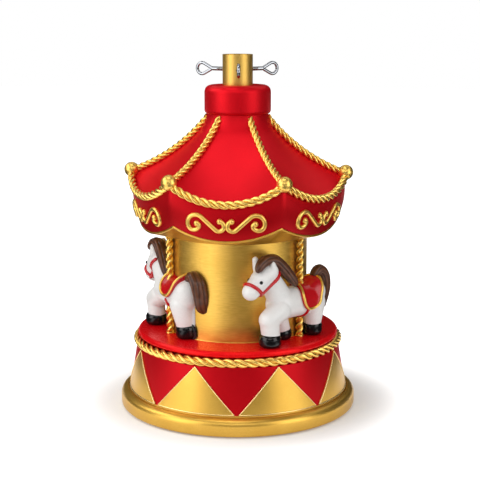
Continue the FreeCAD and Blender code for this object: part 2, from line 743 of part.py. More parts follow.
for place, angle in enumerate(PANEL_ANGLES, start=1):
    node(solid_feature("scroll", scroll, turned(angle)), f"scroll_{place}")

# Cap: a hollow collar that hides the lock nut
cap_rim = "cap_radius - cap_edge"
cap_low = f"{CAP_BASE} + cap_edge"
cap_high = f"{CAP_TOP} - cap_edge"
node(turned_body("cap", [
    ("cap_radius - cap_wall", CAP_BASE),
    (cap_rim, CAP_BASE, rounded(CAP_BASE, "cap_radius", cap_low, "cap_edge")),
    ("cap_radius", cap_low),
    ("cap_radius", cap_high, rounded(CAP_TOP, "cap_radius", cap_high, "cap_edge")),
    (cap_rim, CAP_TOP),
    (TUBE_HOLE, CAP_TOP),
    (TUBE_HOLE, f"{CAP_TOP} - cap_ceiling"),
    ("cap_radius - cap_wall", f"{CAP_TOP} - cap_ceiling"),
]), "collar_cap")

# Washer and lock nut on the tube, which press the canopy's neck down and hold the stack together
node(turned_body("washer", [
    (TUBE_HOLE, NECK_TOP),
    ("washer_radius", NECK_TOP),
    ("washer_radius", f"{NECK_TOP} + washer_thickness"),
    (TUBE_HOLE, f"{NECK_TOP} + washer_thickness"),
]), "stack_washer")

nut_prism = bound_object("Part::Prism", "nut_prism", Circumradius="nut_radius", Height="nut_height")
nut_prism.Polygon = 6
nut_bore = bound_object("Part::Cylinder", "nut_bore",
                        Radius="tube_diameter / 2 + running_gap", Height="nut_height")
for piece in (nut_prism, nut_bore):
    piece.Placement.Base = UP * number(f"{NECK_TOP} + washer_thickness")
node(cut("nut", nut_prism, nut_bore), "lock_nut")

# Tube for the tree's pole, standing on the base plate, with three tapped holes
tube = turned_body("tube", [
    ("tube_bore / 2", PLATE_TOP),
    ("tube_diameter / 2", PLATE_TOP),
    ("tube_diameter / 2", TUBE_TOP),
    ("tube_bore / 2", TUBE_TOP),
])
screw_level = number(f"{TUBE_TOP} - screw_drop")
tapped_holes = []
for place, angle in enumerate(SCREW_ANGLES, start=1):
    hole = bound_object("Part::Cylinder", f"tapped_hole_{place}",
                        Radius="screw_diameter / 2 + running_gap", Height="tube_diameter")
    outward = around(angle, 1, 0)
    hole.Placement = FreeCAD.Placement(UP * screw_level, FreeCAD.Rotation(UP, outward))
    tapped_holes.append(hole)
node(cut("tapped_tube", tube, group("tapped_holes", tapped_holes)), "pole_tube")

# Eye screws and their soft tips, built at the front and turned to their places.
# At rest each tip lies just clear of the bore.
FRONT = Vec(0, -1, 0)
tip_face = size.tube_bore / 2 + size.tip_setback
tip_back = tip_face + size.tip_head
shank_end = tip_back + size.running_gap
wire_radius = size.eye_wire_diameter / 2
ring_reach = size.eye_reach - size.eye_ring_radius - wire_radius
neck_to_ring = ring_reach - size.screw_neck_reach


def on_axis(reach):
    return Vec(0, -reach, screw_level)


def rod_along(radius, first, last):
    along = last - first
    return Part.makeCylinder(radius, along.Length, first, along)


stem_end = tip_back + size.tip_stem_length
tip = rod_along(size.tip_diameter / 2, on_axis(tip_face), on_axis(tip_back))
tip = tip.fuse(rod_along(size.tip_stem_diameter / 2, on_axis(tip_back), on_axis(stem_end)))

opening = math.degrees(math.acos(size.eye_ring_radius / neck_to_ring))
leg_ends = []
for side in (1, -1):
    turn = math.radians(opening)
    leg_ends.append(on_axis(ring_reach - size.eye_ring_radius * math.cos(turn))
                    + UP * (side * size.eye_ring_radius * math.sin(turn)))
ring_section = Part.Face(Part.Wire(Part.makeCircle(
    wire_radius, leg_ends[0], (leg_ends[0] - on_axis(size.screw_neck_reach)))))
eye_ring = ring_section.revolve(on_axis(ring_reach), Vec(1, 0, 0), 360 - 2 * opening)
screw_radius = size.screw_diameter / 2
stem_hole = rod_along(size.tip_stem_diameter / 2 + size.running_gap, on_axis(shank_end - size.running_gap),
                      on_axis(stem_end + 2 * size.running_gap))
eye = rod_along(screw_radius, on_axis(shank_end), on_axis(size.screw_neck_reach))
eye = eye.fuse([
    Part.makeSphere(screw_radius, on_axis(size.screw_neck_reach)),
    *(rod_along(wire_radius, on_axis(size.screw_neck_reach), leg_end) for leg_end in leg_ends),
    eye_ring,
]).cut(stem_hole).removeSplitter()
for place, angle in enumerate(SCREW_ANGLES, start=1):
    node(solid_feature("eye", eye, turned(angle)), f"eye_screw_{place}")
    node(solid_feature("tip", tip.removeSplitter(), turned(angle)), f"screw_tip_{place}")


# Horses: painted castings, each of tapered limbs. A point is (forward, left, up) from the horse's own
# foot point, in units of which it stands so many high to the top of its mane, clear of the soffit.
HORSE_UNITS_HIGH = 104.8
horse_unit = (size.drum_height - size.horse_headroom) / HORSE_UNITS_HIGH


def limb(first, first_radius, last, last_radius, grow=0):
    """Two balls and the cone that touches both, turned as one solid."""
    start, end = Vec(*first) * horse_unit, Vec(*last) * horse_unit
    near, far = first_radius * horse_unit + grow, last_radius * horse_unit + grow
    along = (end - start).normalize()
    side = along.cross(Vec(0, 1, 0) if abs(along.y) < 0.9 else Vec(0, 0, 1)).normalize()
    length = (end - start).Length
    lean = math.asin((near - far) / length)

    def spot(centre, radius, angle):
        return centre + along * (radius * math.sin(angle)) + side * (radius * math.cos(angle))

    near_end, far_end = start - along * near, end + along * far
    near_half = spot(start, near, (lean - math.pi / 2) / 2)
    far_half = spot(end, far, (lean + math.pi / 2) / 2)
    outline = Part.Wire([
        Part.Arc(near_end, near_half, spot(start, near, lean)).toShape(),
        Part.LineSegment(spot(start, near, lean), spot(end, far, lean)).toShape(),
        Part.Arc(spot(end, far, lean), far_half, far_end).toShape(),
        Part.LineSegment(far_end, near_end).toShape(),
    ])
    return Part.Face(outline).revolve(start, along, 360)


BACK_LIMBS = [
    ((-20, 0, 43.5), 17.6, (28, 0, 44.5), 17.9),
    ((-18, 0, 46), 17.4, (-22.5, 0, 50.5), 16.8),
]
BODY_LIMBS = [
    *BACK_LIMBS,
    ((30, 0, 51), 14.5, (50, 0, 80), 11.8),
    ((51, 0, 83), 12.6, (62, 0, 76.5), 11.8),
    ((63, 0, 75), 11.2, (78.5, 0, 66), 9.8),
    ((50, 8, 87), 6, (52, 10, 96), 2.2),
    ((59, -7, 89), 5.3, (61.5, -8.5, 99.5), 3),
    ((36, 6, 40), 13, (54, 6, 31), 11.4),
    ((53.5, 6, 31.5), 11, (50.5, 6, 14), 10.4),
    ((30, -7, 38), 11.5, (18, -7, 14), 9.2),
    ((-20, 6, 40), 14, (-22.5, 2, 14), 9.8),
    ((-19, -6, 39), 13, (-24, -5.5, 14), 9.6),
]
HOOVES = [((52, 6), 12.4), ((18, -7), 10.5)]
HIND_HOOVES = [((-22.5, 2), 11.7), ((-24, -5.5), 11.3)]
MANE_LIMBS = [
    ((69.5, 4.5, 90.5), 4, (62, 4, 96.8), 5.6),
    ((62.5, 4, 96.5), 5.8, (45, 4, 98), 6.6),
    ((45.5, 4, 97.8), 6.8, (27, 6, 82.5), 7),
    ((27.5, 6, 83), 6.8, (13, 8, 66), 3.4),
]
TAIL_LIMBS = [
    ((-27, 0, 60), 4.6, (-29.5, 0, 70), 5.8),
    ((-29, 0, 70), 5.9, (-37.5, 0, 74), 6.4),
    ((-37, 0, 74.2), 6.5, (-46, 0, 65), 6.4),
    ((-45.8, 0, 65.5), 6.3, (-47.8, 0, 50), 5.6),
    ((-47.8, 0, 50.5), 5.5, (-45.7, 0, 31), 2.6),
]
saddle_middle, saddle_half_length = -5 * horse_unit, 17.5 * horse_unit
saddle_level, saddle_top = 57 * horse_unit, 80 * horse_unit
# Turn of each horse in from the rim, and how far its own foot point lies ahead of its pole and outside it
STANCES = [(10.5, 5, 1.5), (12, -8, -2), (-3, -5, -9.5)]
body_width = 60 * horse_unit
horse_reach = 200 * horse_unit
HOOF_TAPER, HOOF_EDGE = 0.9, 0.2


def joined(limbs, grow=0):
    solids = [limb(*one, grow) for one in limbs]
    return solids[0].multiFuse(solids[1:])


def hoof(centre, units_out):
    radius = units_out * horse_unit
    boot = Part.makeCone(radius, radius * HOOF_TAPER, size.hoof_height, Vec(*centre, 0) * horse_unit)
    bottom = min(boot.Edges, key=lambda edge: edge.CenterOfMass.z)
    return boot.makeFillet(radius * HOOF_EDGE, [bottom])


saddle_region = Part.makeCylinder(saddle_half_length, body_width,
                                  Vec(saddle_middle, -body_width / 2, saddle_level), Vec(0, 1, 0))
saddle_region = saddle_region.fuse(Part.makeBox(2 * saddle_half_length, body_width, saddle_top - saddle_level,
                                                Vec(saddle_middle - saddle_half_length, -body_width / 2,
                                                    saddle_level)))
below_hooves = Part.makeBox(2 * horse_reach, 2 * horse_reach, horse_reach,
                            Vec(-horse_reach, -horse_reach, size.hoof_height - horse_reach))
horse_body = joined(BODY_LIMBS).cut(below_hooves)
horse_skin = joined(BODY_LIMBS, size.seat_gap)
saddle_block = joined(BACK_LIMBS, size.saddle_thickness + size.seat_gap).common(saddle_region)
saddle = joined(BACK_LIMBS, size.saddle_thickness).common(saddle_region).cut(horse_skin)
hind_hooves = hoof(*HIND_HOOVES[0]).fuse(hoof(*HIND_HOOVES[1]))
HORSE_PIECES = {
    "horse_body": horse_body,
    "horse_saddle": saddle,
    "horse_mane": joined(MANE_LIMBS).cut([horse_skin, saddle_block]),
    "horse_tail": joined(TAIL_LIMBS).cut([horse_skin, saddle_block]),
    "horse_hooves": Part.Compound([*(hoof(*one) for one in HOOVES), hind_hooves]),
}
pole_bore = Part.makeCylinder(socket_radius, horse_reach)
collar_bore = Part.makeCylinder(size.pole_collar_radius + size.seat_gap,
                                size.pole_collar_height + size.seat_gap)
drum_room = Part.makeCylinder(drum_radius + size.drum_clearance, horse_reach)
for place, (angle, (turn_in, ahead, outside)) in enumerate(zip(POLE_ANGLES, STANCES), start=1):
    stance = FreeCAD.Placement(Vec(0, 0, 0), FreeCAD.Rotation(UP, 180 + angle - turn_in))
    stand = FreeCAD.Placement(around(angle, pole_circle, 0), FreeCAD.Rotation())
    stand = stand.multiply(stance)
    to_deck = FreeCAD.Placement(UP * number(DECK_TOP), FreeCAD.Rotation())
    drum_at_pole = drum_room.copy()
    drum_at_pole.Placement = stand.inverse()
    for name, shape in HORSE_PIECES.items():
        shifted = shape.copy()
        shifted.translate(Vec(ahead, outside, 0) * horse_unit)
        shifted = shifted.cut([drum_at_pole, pole_bore, collar_bore])
        node(solid_feature(name, shifted, to_deck.multiply(stand)), f"{name}_{place}")

# Every piece is sound before anything is written
doc.recompute()
for thing in doc.Objects:
    if {"Invalid", "Error"} & set(thing.State):
        raise RuntimeError(f"{thing.Label} did not recompute: {thing.State}")
for piece in nodes:
    if piece.Shape.isNull() or not piece.Shape.isValid() or not piece.Shape.Solids:
        raise RuntimeError(f"{piece.Label} has no sound shape")

os.makedirs("parts", exist_ok=True)
for piece in nodes:
    piece.Shape.exportStep(f"parts/{piece.Label}.step")
    print(piece.Label, len(piece.Shape.Solids), round(piece.Shape.Volume, 1))
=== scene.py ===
from math import acos, asin, atan2, copysign, cos, degrees, exp, hypot, pi, radians, sin, sqrt, tan

import bmesh
import bpy
from mathutils import Matrix, Vector
from mathutils.bvhtree import BVHTree


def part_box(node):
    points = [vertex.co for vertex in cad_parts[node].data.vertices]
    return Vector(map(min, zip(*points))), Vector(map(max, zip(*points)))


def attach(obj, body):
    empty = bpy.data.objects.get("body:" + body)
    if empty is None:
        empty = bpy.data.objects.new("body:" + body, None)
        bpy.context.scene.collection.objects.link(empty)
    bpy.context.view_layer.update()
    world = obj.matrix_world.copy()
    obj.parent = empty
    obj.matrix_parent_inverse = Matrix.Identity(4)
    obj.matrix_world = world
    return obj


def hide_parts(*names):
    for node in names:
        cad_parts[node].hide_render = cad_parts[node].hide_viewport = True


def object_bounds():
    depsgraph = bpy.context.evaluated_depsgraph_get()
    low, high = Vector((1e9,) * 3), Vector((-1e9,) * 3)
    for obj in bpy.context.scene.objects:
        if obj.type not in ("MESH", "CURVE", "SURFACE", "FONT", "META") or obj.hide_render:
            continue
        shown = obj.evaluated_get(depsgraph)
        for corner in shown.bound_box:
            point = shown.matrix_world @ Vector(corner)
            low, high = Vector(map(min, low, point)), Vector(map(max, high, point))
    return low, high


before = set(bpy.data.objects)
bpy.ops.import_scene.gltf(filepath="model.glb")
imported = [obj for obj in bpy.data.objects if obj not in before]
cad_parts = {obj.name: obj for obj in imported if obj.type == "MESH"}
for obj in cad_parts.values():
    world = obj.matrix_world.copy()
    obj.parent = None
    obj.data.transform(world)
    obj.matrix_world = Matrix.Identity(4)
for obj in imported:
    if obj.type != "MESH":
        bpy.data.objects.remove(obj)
cad_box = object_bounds()
scene = bpy.context.scene
scene.view_settings.view_transform = "Standard"


# Camera: a long lens a little above the eaves of the canopy and just right of the front.
# It looks down past the tube's axis to the middle of the stand.
def placed(name, data):
    """A new object in the scene."""
    thing = bpy.data.objects.new(name, data)
    scene.collection.objects.link(thing)
    return thing


camera = placed("camera", bpy.data.cameras.new("camera"))
camera.data.sensor_width = 36
camera.data.lens = 88.47
camera.location = (0.1533, -1.3670, 0.4614)
camera.rotation_euler = (radians(79.114), 0, radians(6.287))
scene.camera = camera


# Floor and light: a white floor that keeps the stand's soft shadow, and a white room.
# Two tall soft boxes stand left and right of the camera; smaller ones hang over it, overhead and high left.
# Dark cards, upright and on the floor, give the metal its dark bands.
def plug(tree, node, inputs):
    """Gives a node's inputs, named or numbered, a value or another node's socket."""
    for key, value in inputs.items():
        if isinstance(value, bpy.types.NodeSocket):
            tree.links.new(value, node.inputs[key])
        else:
            node.inputs[key].default_value = value


def step(tree, kind, inputs, **settings):
    """Adds a node and returns its outputs."""
    node = tree.nodes.new(kind)
    for name, value in settings.items():
        setattr(node, name, value)
    plug(tree, node, inputs)
    return node.outputs


def maths(tree, operation, *values):
    """A sum on numbers or sockets."""
    return step(tree, "ShaderNodeMath", dict(enumerate(values)), operation=operation)[0]


def ranged(tree, *values, **settings):
    """A value carried over from one range to another: the value, then the ends of both ranges."""
    return step(tree, "ShaderNodeMapRange", dict(enumerate(values)), **settings)[0]


def seen_directly(tree):
    """1 for what is seen, in a mirror or glass too, and 0 for light that falls on things."""
    rays = step(tree, "ShaderNodeLightPath", {})
    mirrored = maths(tree, "MAXIMUM", rays["Is Camera Ray"], rays["Is Glossy Ray"])
    return maths(tree, "MAXIMUM", mirrored, rays["Is Transmission Ray"])


def new_material(name):
    """A material with nodes, and its node tree."""
    material = bpy.data.materials.new(name)
    material.use_nodes = True
    return material, material.node_tree


floor_size = 12
floor_reflectance = 0.80
near_glow, far_glow = 0.16, 1.0
shadow_reach, white_reach = 0.142, 0.25
white = (1, 1, 1, 1)
room_light = 0.30

world = bpy.data.worlds.new("white_room")
scene.world = world
world.use_nodes = True
room_tree = world.node_tree
room_tree.nodes.clear()
falling = step(room_tree, "ShaderNodeBackground", {"Color": white, "Strength": room_light})[0]
shown = step(room_tree, "ShaderNodeBackground", {"Color": white, "Strength": 1.0})[0]
room = step(room_tree, "ShaderNodeMixShader", {0: seen_directly(room_tree), 1: falling, 2: shown})[0]
step(room_tree, "ShaderNodeOutputWorld", {0: room})

floor_paint, floor_tree = new_material("floor_white")
floor_tree.nodes.clear()
matt = step(floor_tree, "ShaderNodeBsdfDiffuse", {"Color": (*[floor_reflectance] * 3, 1)})[0]
floor_place = step(floor_tree, "ShaderNodeTexCoord", {})["Object"]
from_axis = step(floor_tree, "ShaderNodeVectorMath", {0: floor_place}, operation="LENGTH")["Value"]
# Seen directly, the floor glows less near the stand, so it is painted darker round the foot, on top of the
# stand's real shadow.
lift = ranged(floor_tree, from_axis, shadow_reach, white_reach, near_glow, far_glow,
              interpolation_type="SMOOTHSTEP")
strength = maths(floor_tree, "MULTIPLY", seen_directly(floor_tree), lift)
glow = step(floor_tree, "ShaderNodeEmission", {"Strength": strength})[0]
floor_shader = step(floor_tree, "ShaderNodeAddShader", {0: matt, 1: glow})[0]
step(floor_tree, "ShaderNodeOutputMaterial", {0: floor_shader})


def card(name, width, height, material):
    """A level sheet for the studio; only reflections see a black one."""
    mesh = bpy.data.meshes.new(name)
    corners = [(x * width / 2, y * height / 2, 0) for x, y in ((-1, -1), (1, -1), (1, 1), (-1, 1))]
    mesh.from_pydata(corners, [], [range(4)])
    mesh.materials.append(material)
    sheet = placed(name, mesh)
    if material is not floor_paint:
        sheet.visible_camera = sheet.visible_diffuse = sheet.visible_shadow = False
    return sheet


floor = card("floor", floor_size, floor_size, floor_paint)
floor.location.z = cad_box[0][2]

middle_height = Vector((0, 0, 0.21))


def aimed(thing, place):
    """Puts a lamp or a card in its place, facing the middle of the stand."""
    thing.location = place
    thing.rotation_euler = (Vector(place) - middle_height).to_track_quat("Z", "Y").to_euler()


for name, place, width, height, power in (
        ("left_box", (-1.35, -1.20, 0.80), 1.3, 1.7, 16),
        ("right_box", (1.50, -0.88, 0.70), 1.1, 1.7, 11),
        ("top_box", (-0.15, -0.30, 1.75), 0.9, 0.7, 6),
        ("front_box", (0.15, -1.75, 1.15), 1.1, 0.5, 5),
        ("high_left_box", (-1.45, 0.10, 1.30), 0.9, 0.9, 8)):
    lamp = bpy.data.lights.new(name, "AREA")
    lamp.shape = "RECTANGLE"
    lamp.size, lamp.size_y, lamp.energy = width, height, power
    aimed(placed(name, lamp), place)

card_black, card_tree = new_material("card_black")
plug(card_tree, card_tree.nodes["Principled BSDF"], {"Base Color": (0.015, 0.012, 0.01, 1), "Roughness": 1.0})
card_lift = 0.002


def around(angle, radius, level):
    """A point at an angle round the stand, measured from the front towards +X."""
    turn = radians(angle)
    return Vector((radius * sin(turn), -radius * cos(turn), level))


for name, place, width, height in (
        ("front_card", (0.10, -2.4, 0.75), 4.2, 2.2),
        ("left_card", (-2.0, 0.7, 0.75), 2.6, 2.2),
        ("right_card", (2.0, 0.7, 0.75), 2.6, 2.2),
        ("back_card", (0, 2.2, 0.75), 3.6, 2.2),
        ("top_card", (0, -0.4, 2.6), 3.6, 3.0)):
    aimed(card(name, width, height, card_black), place)
for name, direction, distance, width, length in (
        ("front_floor_card", 16, 0.95, 0.7, 1.3),
        ("left_floor_card", -105, 1.2, 1.6, 1.8),
        ("right_floor_card", 115, 1.2, 1.6, 1.8)):
    sheet = card(name, width, length, card_black)
    sheet.location = around(direction, distance, card_lift)
    sheet.rotation_euler.z = radians(direction)


# Foot ring: the broad bullnose that the stand rests on, cast in resin and sprayed a satin metallic gold.
# A narrow cove and a fine edge finish it under the plinth; pads, a steel plate and screws sit beneath.
def mixed(tree, share, first, second):
    """A colour between two."""
    return step(tree, "ShaderNodeMix", {"Factor": share, 6: first, 7: second}, data_type="RGBA")[2]


def sprayed(name, colour, tone_and_shade, roughness, metallic=0.0, specular=0.5, sheen=(1, 1, 1),
            grain=0.0011, depth=0.00003, drift=0.35, brushed=1.0, fall=0.0):
    """A sprayed, grained finish. Its colour drifts to a darker tone in clouds; by its fall, steep faces are
    painted darker as painted shade.
    """
    material, tree = new_material(name)
    colour, tone_and_shade = (*colour, 1), (*tone_and_shade, 1)
    place = step(tree, "ShaderNodeTexCoord", {})["Object"]
    drawn = step(tree, "ShaderNodeMapping", {"Vector": place, "Scale": (brushed, brushed, 1)})[0]
    clouds = step(tree, "ShaderNodeTexNoise", {"Vector": place, "Scale": 28.0, "Detail": 3.0})[0]
    fine = step(tree, "ShaderNodeTexNoise", {"Vector": drawn, "Scale": 1 / grain, "Detail": 2.0})[0]
    normal = step(tree, "ShaderNodeNewGeometry", {})["True Normal"]
    facing_up = step(tree, "ShaderNodeSeparateXYZ", {0: normal})["Z"]
    worn = ranged(tree, maths(tree, "MULTIPLY", clouds, fine), 0.16, 0.36, drift, 0.0)
    # Painted shade: by the fall, faces that look sideways or down take the darker colour.
    steep_face_shade = ranged(tree, facing_up, -0.1, 0.5, fall, 0.0)
    plug(tree, tree.nodes["Principled BSDF"], {
        "Base Color": mixed(tree, steep_face_shade, mixed(tree, worn, colour, tone_and_shade), tone_and_shade),
        "Roughness": ranged(tree, fine, 0.3, 0.7, roughness * 0.86, roughness * 1.14),
        "Normal": step(tree, "ShaderNodeBump", {"Height": fine, "Strength": 1.0, "Distance": depth})[0],
        "Metallic": metallic,
        "Specular IOR Level": specular,
        "Specular Tint": (*sheen, 1),
    })
    return material


def shares(count):
    """From 0 to 1 in like steps."""
    return [stop / count for stop in range(count + 1)]


def rounded_line(corners, steps=8):
    """A closed outline from (radius, level, rounding) corners; a rounding's arc touches both sides."""
    points = []
    for place, (radius, level, rounding) in enumerate(corners):
        here = Vector((radius, level))
        if not rounding:
            points.append(here)
            continue
        before = (Vector(corners[place - 1][:2]) - here).normalized()
        after = (Vector(corners[(place + 1) % len(corners)][:2]) - here).normalized()
        half = before.angle(after) / 2
        centre = here + (before + after).normalized() * (rounding / sin(half))
        first = here + before * (rounding / tan(half)) - centre
        last = here + after * (rounding / tan(half)) - centre
        sweep = pi - 2 * half
        for share in shares(steps):
            arc = first * sin((1 - share) * sweep) + last * sin(share * sweep)
            points.append(centre + arc / sin(sweep))
    return points


def outward(mesh, sharp=35):
    """Points every face outwards and shades the mesh smooth up to an angle."""
    sculpt = bmesh.new()
    sculpt.from_mesh(mesh)
    bmesh.ops.remove_doubles(sculpt, verts=sculpt.verts, dist=1e-6)
    bmesh.ops.recalc_face_normals(sculpt, faces=sculpt.faces)
    sculpt.to_mesh(mesh)
    sculpt.free()
    mesh.shade_smooth()
    mesh.set_sharp_from_angle(angle=radians(sharp))
    return mesh


def ring_mesh(stacks, sharp=35, ridges=()):
    """A skin through stacks of like rings. A stack's last ring meets its first, or both get a cap."""
    points, faces = [], []
    for rings, closed in stacks:
        base, count = len(points), len(rings[0])
        points += [point for ring in rings for point in ring]
        for place in range(len(rings) if closed else len(rings) - 1):
            near, far = base + place * count, base + (place + 1) % len(rings) * count
            for row in range(count):
                above = (row + 1) % count
                faces.append((near + row, far + row, far + above, near + above))
        if not closed:
            faces += [range(base, base + count), range(len(points) - count, len(points))]
    mesh = bpy.data.meshes.new("rings")
    mesh.from_pydata(points, [], faces)
    if ridges:
        mesh.attributes.new("ridge", "FLOAT", "POINT").data.foreach_set("value", ridges)
    return outward(mesh, sharp)


def spun(corners, sides, centre=Vector((0, 0, 0))):
    """A stack of rings turned about an upright axis from the rounded corners of an outline."""
    line = rounded_line(corners)
    return [[centre + around(360 * place / sides, *point) for point in line] for place in range(sides)], True


def turned(*corners, sides=240):
    """A piece turned about the stand's axis."""
    return ring_mesh([spun(corners, sides)])


def set_in(name, mesh, finish, slot, *replaced, body="stand"):
    """Puts a mesh on its body, in the place of the plain pieces that it stands for."""
    mesh.name = name
    mesh.materials.clear()
    mesh.materials.append(finish)
    piece = placed(name, mesh)
    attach(piece, body)
    if replaced:
        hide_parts(*replaced)


def finished(finish, *names):
    """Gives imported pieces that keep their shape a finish."""
    for name in names:
        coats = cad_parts[name].data.materials
        coats.clear()
        coats.append(finish)


cast_gold = sprayed("cast_gold", (0.72, 0.43, 0.075), (0.52, 0.27, 0.03), 0.36, metallic=0.88)
foot_radius = 0.1404
foot_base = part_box("foot_ring")[0].z
foot_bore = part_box("base_plate")[1].x + 0.0004
shoulder_level, cove_level = 0.0210, 0.0195
cove_outer, cove_middle, cove_inner = 0.1324, 0.1318, 0.1304
plinth_base, plinth_seat, seat_depth = 0.023, 0.1215, 0.006
set_in("foot_ring_gold", turned(
    (foot_bore, foot_base, 0),
    (foot_radius, foot_base, 0.0030),
    (foot_radius, shoulder_level, 0.0077),
    (cove_outer, shoulder_level, 0.0006),
    (cove_middle, cove_level, 0.0005),
    (cove_inner, cove_level + 0.0005, 0.0006),
    (cove_inner, plinth_base, 0.0004),
    (plinth_seat, plinth_base, 0),
    (foot_bore, plinth_base - seat_depth, 0),
), cast_gold, "gold_resin", "foot_ring")

plate_zinc = sprayed("plate_zinc", (0.52, 0.52, 0.54), (0.40, 0.40, 0.43), 0.38, metallic=1.0)
finished(sprayed("pad_rubber", (0.02, 0.02, 0.02), (0.05, 0.05, 0.05), 0.8), "foot_pads")
finished(plate_zinc, "base_plate", "base_plate_screws", "stack_washer", "lock_nut")


# Plinth wall: a red cone standing on the foot ring, cast in resin with a satin red spray.
# Its face runs up to a ledge under the deck, where the rope lies.
def cast_red_shaded(name, fall):
    """The red of the castings, with painted shade on steep faces by its fall."""
    return sprayed(name, (0.70, 0.004, 0.012), (0.30, 0.001, 0.003), 0.42, metallic=0.45, specular=0.3,
                   sheen=(1, 0.3, 0.3), grain=0.0009, depth=0.000008, drift=0.15, fall=fall)


# The wall and the canopy's valance get painted shade on their steep faces, so they are darker than the roof.
cast_red = cast_red_shaded("cast_red", 0.75)
wall_foot_radius, wall_head_radius = 0.129, 0.119
wall_thickness = 0.009
wall_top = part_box("plinth_wall")[1].z
rope_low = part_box("deck_rope")[0].z
wall_slope = (wall_foot_radius - wall_head_radius) / (wall_top - plinth_base)
ledge_radius = wall_foot_radius - wall_slope * (rope_low - plinth_base)
ledge_depth = 0.0065
set_in("plinth_wall_red", turned(
    (wall_foot_radius - wall_thickness, plinth_base, 0),
    (wall_foot_radius, plinth_base, 0),
    (ledge_radius, rope_low, 0.0008),
    (ledge_radius - ledge_depth, rope_low, 0),
    (ledge_radius - ledge_depth, wall_top, 0),
    (wall_head_radius - wall_thickness, wall_top, 0),
), cast_red, "red_resin", "plinth_wall")


# Triangles: eight thin gold castings glued to the wall, apex up, whose bases all but meet.
# A fine bead in a lighter gold, a painted highlight, runs along the edges of each; a little wall shows
# between their corners.
def new_tree(name, **kinds):
    """A node tree for paths, with its given sizes and finish and its path as a curve."""
    tree = bpy.data.node_groups.new(name, "GeometryNodeTree")
    for label, kind in {"Geometry": "Geometry", "Finish": "Material", **kinds}.items():
        tree.interface.new_socket(label, in_out="INPUT", socket_type=f"NodeSocket{kind}")
    tree.interface.new_socket("Geometry", in_out="OUTPUT", socket_type="NodeSocketGeometry")
    given = step(tree, "NodeGroupInput", {})
    path = step(tree, "GeometryNodeMeshToCurve", {0: given["Geometry"]})[0]
    path = step(tree, "GeometryNodeResampleCurve", {"Curve": path, "Length": given["Step"]}, mode="LENGTH")[0]
    return tree, given, path


def swept(tree, line, radius, sides):
    """A round rod along a curve."""
    section = step(tree, "GeometryNodeCurvePrimitiveCircle", {"Resolution": sides, "Radius": radius},
                   mode="RADIUS")[0]
    return step(tree, "GeometryNodeCurveToMesh",
                {"Curve": line, "Profile Curve": section, "Fill Caps": True})[0]


def close_tree(tree, finish, *parts):
    """Joins, smooths and finishes what a node tree has made."""
    whole = step(tree, "GeometryNodeJoinGeometry", {})[0]
    for part in parts:
        tree.links.new(part, whole.node.inputs[0])
    whole = step(tree, "GeometryNodeSetShadeSmooth", {"Geometry": whole})[0]
    whole = step(tree, "GeometryNodeRealizeInstances", {"Geometry": whole})[0]
    whole = step(tree, "GeometryNodeSetMaterial", {"Geometry": whole, "Material": finish})[0]
    step(tree, "NodeGroupOutput", {0: whole})


def made_from(thing):
    """The plain mesh that a thing's modifiers make. The thing goes."""
    made = bpy.data.meshes.new_from_object(thing.evaluated_get(bpy.context.evaluated_depsgraph_get()))
    bpy.data.objects.remove(thing)
    return made


def grown(paths, tree, **sizes):
    """The plain mesh that a node tree makes along paths, each its points and whether it closes."""
    points, edges = [], []
    for line, closed in paths:
        first = len(points)
        points += line
        edges += [(first + place, first + place + 1) for place in range(len(line) - 1)]
        if closed:
            edges.append((len(points) - 1, first))
    drawing = bpy.data.meshes.new("paths")
    drawing.from_pydata(points, edges, [])
    thing = placed("paths", drawing)
    modifier = thing.modifiers.new(tree.name, "NODES")
    modifier.node_group = tree
    for item in tree.interface.items_tree:
        if item.in_out == "INPUT" and item.name in sizes:
            modifier[item.identifier] = sizes[item.name]
    return made_from(thing)


bead_tree, given, path = new_tree("bead_line", Radius="Float", Ends="Float", Step="Float", Sides="Int")
bead = swept(bead_tree, path, given["Radius"], given["Sides"])
ball = step(bead_tree, "GeometryNodeMeshUVSphere", {"Segments": 20, "Rings": 12, "Radius": given["Ends"]})[0]
tips = step(bead_tree, "GeometryNodeCurveEndpointSelection", {})[0]
bulbs = step(bead_tree, "GeometryNodeInstanceOnPoints",
             {"Points": path, "Selection": tips, "Instance": ball})[0]
close_tree(bead_tree, given["Finish"], bulbs, bead)


def bead_mesh(paths, finish, radius, spacing, sides, ends=0.0):
    """A round bead along paths, with balls on its open ends if their radius is given."""
    return grown(paths, bead_tree, Finish=finish, Radius=radius, Ends=ends, Step=spacing, Sides=sides)


# The edging's raised bead is real; its lighter gold is a painted highlight.
highlight_edge_gold = sprayed("highlight_edge_gold", (0.95, 0.74, 0.34), (0.86, 0.58, 0.18), 0.22,
                    metallic=0.85, depth=0.000004, drift=0.15)
triangle_count, triangle_turn = 8, 5.8
relief, margin, corner_gap, apex_reach = 0.0011, 0.0008, 0.0022, 0.0001
triangle_base = plinth_base + margin
triangle_apex = rope_low - margin
half_base = wall_foot_radius * sin(pi / triangle_count) - corner_gap
triangle_corners = [(-half_base, triangle_base), (0, triangle_apex), (half_base, triangle_base)]
face_rows, face_columns, edge_points = 20, 24, 24
edging_radius, edging_step, edging_sides = 0.00062, 0.0012, 8


def on_wall(across, level, lift):
    """The point of the wall's face in front of a point of a flat triangle at the front."""
    radius = wall_foot_radius - wall_slope * (level - plinth_base) + lift
    return Vector((across, -sqrt(radius ** 2 - across ** 2), level))


